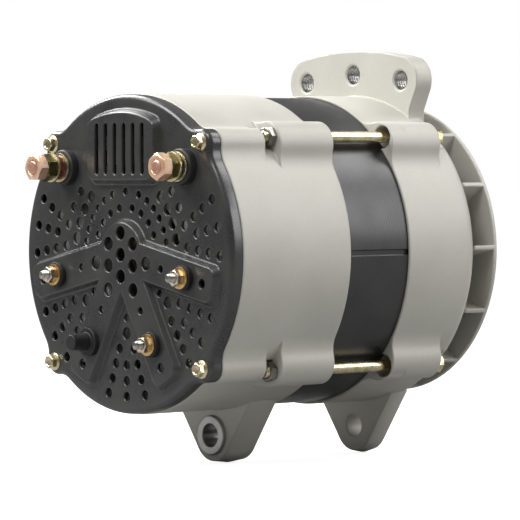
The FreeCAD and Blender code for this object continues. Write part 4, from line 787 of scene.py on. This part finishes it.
def earThreads():
    # Threaded liners of the three ear holes. The holes lie on an arc about the hinge axis: at an angle a off
    # the vertical, y = reach sin a and z = reach cos a - drop.
    crest, root, pitch, gap = (earThread[key] for key in ("crest", "root", "pitch", "endGap"))
    drop = -middleOf(boxOf("hinge_bushing"))[1]
    reach = drop + (drop - earThread["hingeStand"]) + earThread["stand"]
    faceX = boxOf("drive_housing")[1][0] - earThread["faceInset"]
    x0 = faceX - earThread["thickness"] + gap
    x1 = faceX - gap
    skins = []
    for side in (-1, 0, 1):
        a = math.radians(side * earThread["spread"])
        centre = (reach * math.sin(a), reach * math.cos(a) - drop)
        rows = threadRows(x0, x1, crest, pitch, -1.0)
        rows += roundRows((x1, root + earThread["wall"]), (x0, root + earThread["wall"]))
        grid = turnedRings(rows, centre, pitch=pitch, depth=root - crest, segments=earThread["segments"])
        skins.append(ringSkin(grid, True))
    # The threads' darker metal is partly painted shade inside the ear holes
    return addPiece("earThreads", skins, looks["machinedAluminiumAndShade"], "housing",
                    sharp=earThread["sharp"])


def shaftThreads():
    # Helical ridge on the shaft's end, as a thin threaded sleeve over the plain cylinder
    crest, root, pitch, lead = (shaftThread[key] for key in ("crest", "root", "pitch", "lead"))
    x1 = boxOf("rotor_shaft")[1][0] - shaftThread["chamfer"]
    x0 = x1 - shaftThread["length"] + shaftThread["chamfer"]
    depth = crest - root
    sunk = depth * shaftThread["fadeDrop"]
    rows = threadRows(x0 + lead, x1 - lead, crest, pitch)
    rows = [(x, r - (0 if shaftThread["fadeLimit"] < threaded else sunk), hexed, threaded)
            for x, r, hexed, threaded in rows]
    end = shaftThread["wallEnd"]
    wall = root - shaftThread["wallDrop"]
    rows += roundRows((x1 - end, wall), (x0 + end, wall))
    grid = turnedRings(rows, (0, 0), pitch=pitch, depth=depth, segments=shaftThread["segments"])
    return addPiece("shaftThread", [ringSkin(grid, True)], looks["shaft_steel"], "rotor")


earThreads()
shaftThreads()
print("threads cut")

# Windings, coil and springs
winding = {"slots": 36, "span": 3, "strands": 3, "wire": 1.25, "low": 60.4, "high": 73.6,
           "barWidth": 5.2, "barReach": 1.0,  # slot bars, and their reach out of the core
           "startDepth": 0.5, "inset": 3.2,  # strands' start in the core, and off low and high
           "topGap": 0.8, "strandStep": 2.6, "archPower": 0.7,
           "steps": 15, "sides": 6}
fieldWire = {"pitch": 1.1, "ripple": 0.28, "inner": 23.9, "rowsPerTurn": 6, "segments": 96}
spring = {"wire": 0.42, "turns": 5.5, "steps": 150, "sides": 10}


def slotBars(core):
    # Straight bars fill the core's slots, each a rectangle carried along the shaft
    skins = []
    for i in range(winding["slots"]):
        a = math.radians(360 / winding["slots"] * i)
        out = np.array([0.0, math.cos(a), math.sin(a)])
        side = np.array([0.0, -math.sin(a), math.cos(a)])
        half = winding["barWidth"] / 2
        ring = np.array([winding["low"] * out - half * side, winding["high"] * out - half * side,
                         winding["high"] * out + half * side, winding["low"] * out + half * side])
        ends = np.array([core[0][0] - winding["barReach"], core[1][0] + winding["barReach"]])
        grid = ring[None] + ends[:, None, None] * np.array([1.0, 0.0, 0.0])
        skins.append(ringSkin(grid, False))
    return skins


def endTurns(face, side, reach):
    # At an end of the core each strand leaves slot i near the rim and comes back into slot i + span near the
    # bore: its angle runs evenly, and its height over the core is a sine arch raised to a power below 1.
    strands, wire, inset = (winding[key] for key in ("strands", "wire", "inset"))
    depth = winding["high"] - winding["low"] - 2 * inset
    t = np.linspace(0, 1, winding["steps"])
    arch = np.sin(math.pi * t) ** winding["archPower"]
    skins = []
    for i in range(winding["slots"]):
        for k in range(strands):
            shift = (k - (strands - 1) / 2) * 2 * wire
            turn = np.radians(360 / winding["slots"] * (i + winding["span"] * t))
            height = reach - wire - winding["topGap"] - winding["strandStep"] * (strands - 1 - k)
            radius = winding["high"] - inset - depth * t
            sweep = turn + shift / radius * np.cos(math.pi * t)
            along = face + side * height * arch
            path = np.stack([along, radius * np.cos(sweep), radius * np.sin(sweep)], axis=-1)
            outward = np.stack([np.zeros_like(t), np.cos(sweep), np.sin(sweep)], axis=-1)
            skins.append(tubeSkin(path, outward, wire, winding["sides"]))
    return skins


def windingSkins():
    # Slot bars, and end turns whose reach is the winding's own beyond each end of the core
    core = boxOf("stator_core")
    whole = boxOf("stator_winding")
    start = winding["startDepth"]
    return (slotBars(core) + endTurns(core[0][0] - start, -1, core[0][0] - whole[0][0])
            + endTurns(core[1][0] + start, 1, whole[1][0] - core[1][0]))


def fieldCoilSkin():
    # A ring whose outside sinks once for each turn of wire, by ripple times 1 - |sin(pi x / pitch)|
    low, high = boxOf("field_coil")
    outer = (high[1] - low[1]) / 2
    count = int((high[0] - low[0]) / fieldWire["pitch"] * fieldWire["rowsPerTurn"])
    x = np.linspace(low[0], high[0], count)
    radius = outer - fieldWire["ripple"] * (1 - np.abs(np.sin(math.pi * x / fieldWire["pitch"])))
    rows = roundRows(*zip(x, radius), (high[0], fieldWire["inner"]), (low[0], fieldWire["inner"]))
    return ringSkin(turnedRings(rows, (0, 0), segments=fieldWire["segments"]), True)


def springSkin(nodeName):
    # Helix along z whose turns lie closer together at both ends: height follows t - sin(4 pi t) / 12 pi
    low, high = boxOf(nodeName)
    wire = spring["wire"]
    radius = (high[0] - low[0]) / 2 - wire
    centre = (low + high) / 2
    t = np.linspace(0, 1, spring["steps"])
    turn = 2 * math.pi * spring["turns"] * t
    height = low[2] + wire + (high[2] - low[2] - 2 * wire) * (t - np.sin(4 * math.pi * t) / (12 * math.pi))
    path = np.stack([centre[0] + radius * np.cos(turn), centre[1] + radius * np.sin(turn), height], axis=-1)
    outward = np.stack([np.cos(turn), np.sin(turn), np.zeros_like(t)], axis=-1)
    return tubeSkin(path, outward, wire, spring["sides"])


standFor("stator_winding", "statorWinding", windingSkins())
standFor("field_coil", "fieldCoil", [fieldCoilSkin()])
for side in ("outer", "inner"):
    nodeName = side + "_brush_spring"
    coil = standFor(nodeName, side + "BrushSpring", [springSkin(nodeName)])
    springLow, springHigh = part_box(nodeName)
    anchor = (springLow + springHigh) / 2
    anchor.z = springHigh.z
    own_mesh(coil)
print("windings and springs made")

# Every frame node that still shows gets its slot's finish
for nodeName, node in nodes.items():
    if not node.hide_render:
        for materialSlot in node.material_slots:
            name = materialSlot.material.name
            materialSlot.link = "OBJECT"
            materialSlot.material = looks[name]
print("frame nodes finished")

# Floor, light and camera. Lengths here are in metres.
stage = {"floorSize": 30.0, "floorGap": 0.0003, "floorTone": 0.32, "paleTone": 0.9, "cameraShare": 0.45,
         "glow": 1.95}
sky = {"tones": ((0.13, 0.13, 0.13), (0.39, 0.39, 0.39), (0.95, 0.95, 0.94)), "fromBelow": -0.4,
       "strength": 0.50}
lamps = {
    "keyLamp": {"place": (-1.3, -0.5, 1.6), "size": 0.8, "watts": 18.0},
    "topLamp": {"place": (1.07, -0.53, 1.38), "size": 0.9, "watts": 11.0},
    "sideLamp": {"place": (1.05, -1.35, 0.7), "size": 1.0, "watts": 11.5},
    "rimLamp": {"place": (-0.20, 0.95, 0.85), "size": 0.6, "watts": 17.0},
    "coverLamp": {"place": (-0.60, 0.27, 0.48), "size": 0.35, "watts": 3.0},
}
view = {"target": (-0.110962, 0.0, -0.005072), "azimuth": -41.812, "elevation": 1.376, "roll": -0.332,
        "distance": 2.0607, "focalPixels": 3627.0, "framePixels": 520, "sensor": 36.0, "clipEnd": 50.0}

half = stage["floorSize"] / 2
level = cadLow.z - stage["floorGap"]
floorCorners = [(-half, -half, level), (half, -half, level), (half, half, level), (-half, half, level)]
floorMesh = bpy.data.meshes.new("floor")
floorMesh.from_pydata(floorCorners, [], [(0, 1, 2, 3)])
floor = bpy.data.objects.new("floor", floorMesh)
scene.collection.objects.link(floor)


def floorLook():
    # Grey for the light that it throws back. Camera and transmitted rays see a pale floor mixed with a glow.
    material = bpy.data.materials.new("floorLook")
    material.use_nodes = True
    tree = material.node_tree
    tree.nodes.clear()
    output = tree.nodes.new("ShaderNodeOutputMaterial")
    plain = tree.nodes.new("ShaderNodeBsdfDiffuse")
    plain.inputs["Color"].default_value = (stage["floorTone"],) * 3 + (1.0,)
    pale = tree.nodes.new("ShaderNodeBsdfDiffuse")
    pale.inputs["Color"].default_value = (stage["paleTone"],) * 3 + (1.0,)
    white = tree.nodes.new("ShaderNodeEmission")
    white.inputs["Strength"].default_value = stage["glow"]
    seen = tree.nodes.new("ShaderNodeMixShader")
    seen.inputs[0].default_value = stage["cameraShare"]
    tree.links.new(pale.outputs[0], seen.inputs[1])
    tree.links.new(white.outputs[0], seen.inputs[2])
    rays = tree.nodes.new("ShaderNodeLightPath")
    either = tree.nodes.new("ShaderNodeMath")
    either.operation = "MAXIMUM"
    tree.links.new(rays.outputs["Is Camera Ray"], either.inputs[0])
    tree.links.new(rays.outputs["Is Transmission Ray"], either.inputs[1])
    mix = tree.nodes.new("ShaderNodeMixShader")
    tree.links.new(either.outputs[0], mix.inputs[0])
    tree.links.new(plain.outputs[0], mix.inputs[1])
    tree.links.new(seen.outputs[0], mix.inputs[2])
    tree.links.new(mix.outputs[0], output.inputs["Surface"])
    return material


def studioWorld():
    # Light that grows from dark below to white above, by the direction's z; the camera sees plain white
    world = bpy.data.worlds.new("studio")
    world.use_nodes = True
    tree = world.node_tree
    tree.nodes.clear()
    output = tree.nodes.new("ShaderNodeOutputWorld")
    place = tree.nodes.new("ShaderNodeTexCoord")
    split = tree.nodes.new("ShaderNodeSeparateXYZ")
    tree.links.new(place.outputs["Generated"], split.inputs[0])
    height = rangeOf(tree, split.outputs["Z"], 0.0, 1.0, sky["fromBelow"], 1.0)
    lighting = tree.nodes.new("ShaderNodeBackground")
    tree.links.new(tonesOf(tree, height, sky["tones"], 0.0, 1.0), lighting.inputs["Color"])
    lighting.inputs["Strength"].default_value = sky["strength"]
    backdrop = tree.nodes.new("ShaderNodeBackground")
    backdrop.inputs["Color"].default_value = (1.0, 1.0, 1.0, 1.0)
    rays = tree.nodes.new("ShaderNodeLightPath")
    mix = tree.nodes.new("ShaderNodeMixShader")
    tree.links.new(rays.outputs["Is Camera Ray"], mix.inputs[0])
    tree.links.new(lighting.outputs[0], mix.inputs[1])
    tree.links.new(backdrop.outputs[0], mix.inputs[2])
    tree.links.new(mix.outputs[0], output.inputs["Surface"])
    return world


floorMesh.materials.append(floorLook())
scene.world = studioWorld()

target = Vector(view["target"])
for name, lamp in lamps.items():
    data = bpy.data.lights.new(name, "AREA")
    data.shape = "DISK"
    data.size = lamp["size"]
    data.energy = lamp["watts"]
    light = bpy.data.objects.new(name, data)
    light.location = lamp["place"]
    light.visible_camera = False
    light.rotation_euler = (target - light.location).to_track_quat("-Z", "Y").to_euler()
    scene.collection.objects.link(light)

# The camera stands back from the target along its azimuth and elevation, and rolls about that line
azimuth, elevation, roll = (math.radians(view[key]) for key in ("azimuth", "elevation", "roll"))
back = Vector((math.sin(azimuth) * math.cos(elevation), -math.cos(azimuth) * math.cos(elevation),
               math.sin(elevation)))
right = (-back).cross(Vector((0, 0, 1))).normalized()
up = right.cross(-back)
rolledRight = math.cos(roll) * right + math.sin(roll) * up
rolledUp = -math.sin(roll) * right + math.cos(roll) * up
cameraData = bpy.data.cameras.new("camera")
cameraData.sensor_width = view["sensor"]
cameraData.lens = view["focalPixels"] / view["framePixels"] * view["sensor"]
cameraData.clip_end = view["clipEnd"]
camera = bpy.data.objects.new("camera", cameraData)
turnMatrix = Matrix((rolledRight, rolledUp, back)).transposed().to_4x4()
camera.matrix_world = Matrix.Translation(target + back * view["distance"]) @ turnMatrix
scene.collection.objects.link(camera)
scene.camera = camera
print("stage, light and camera set")
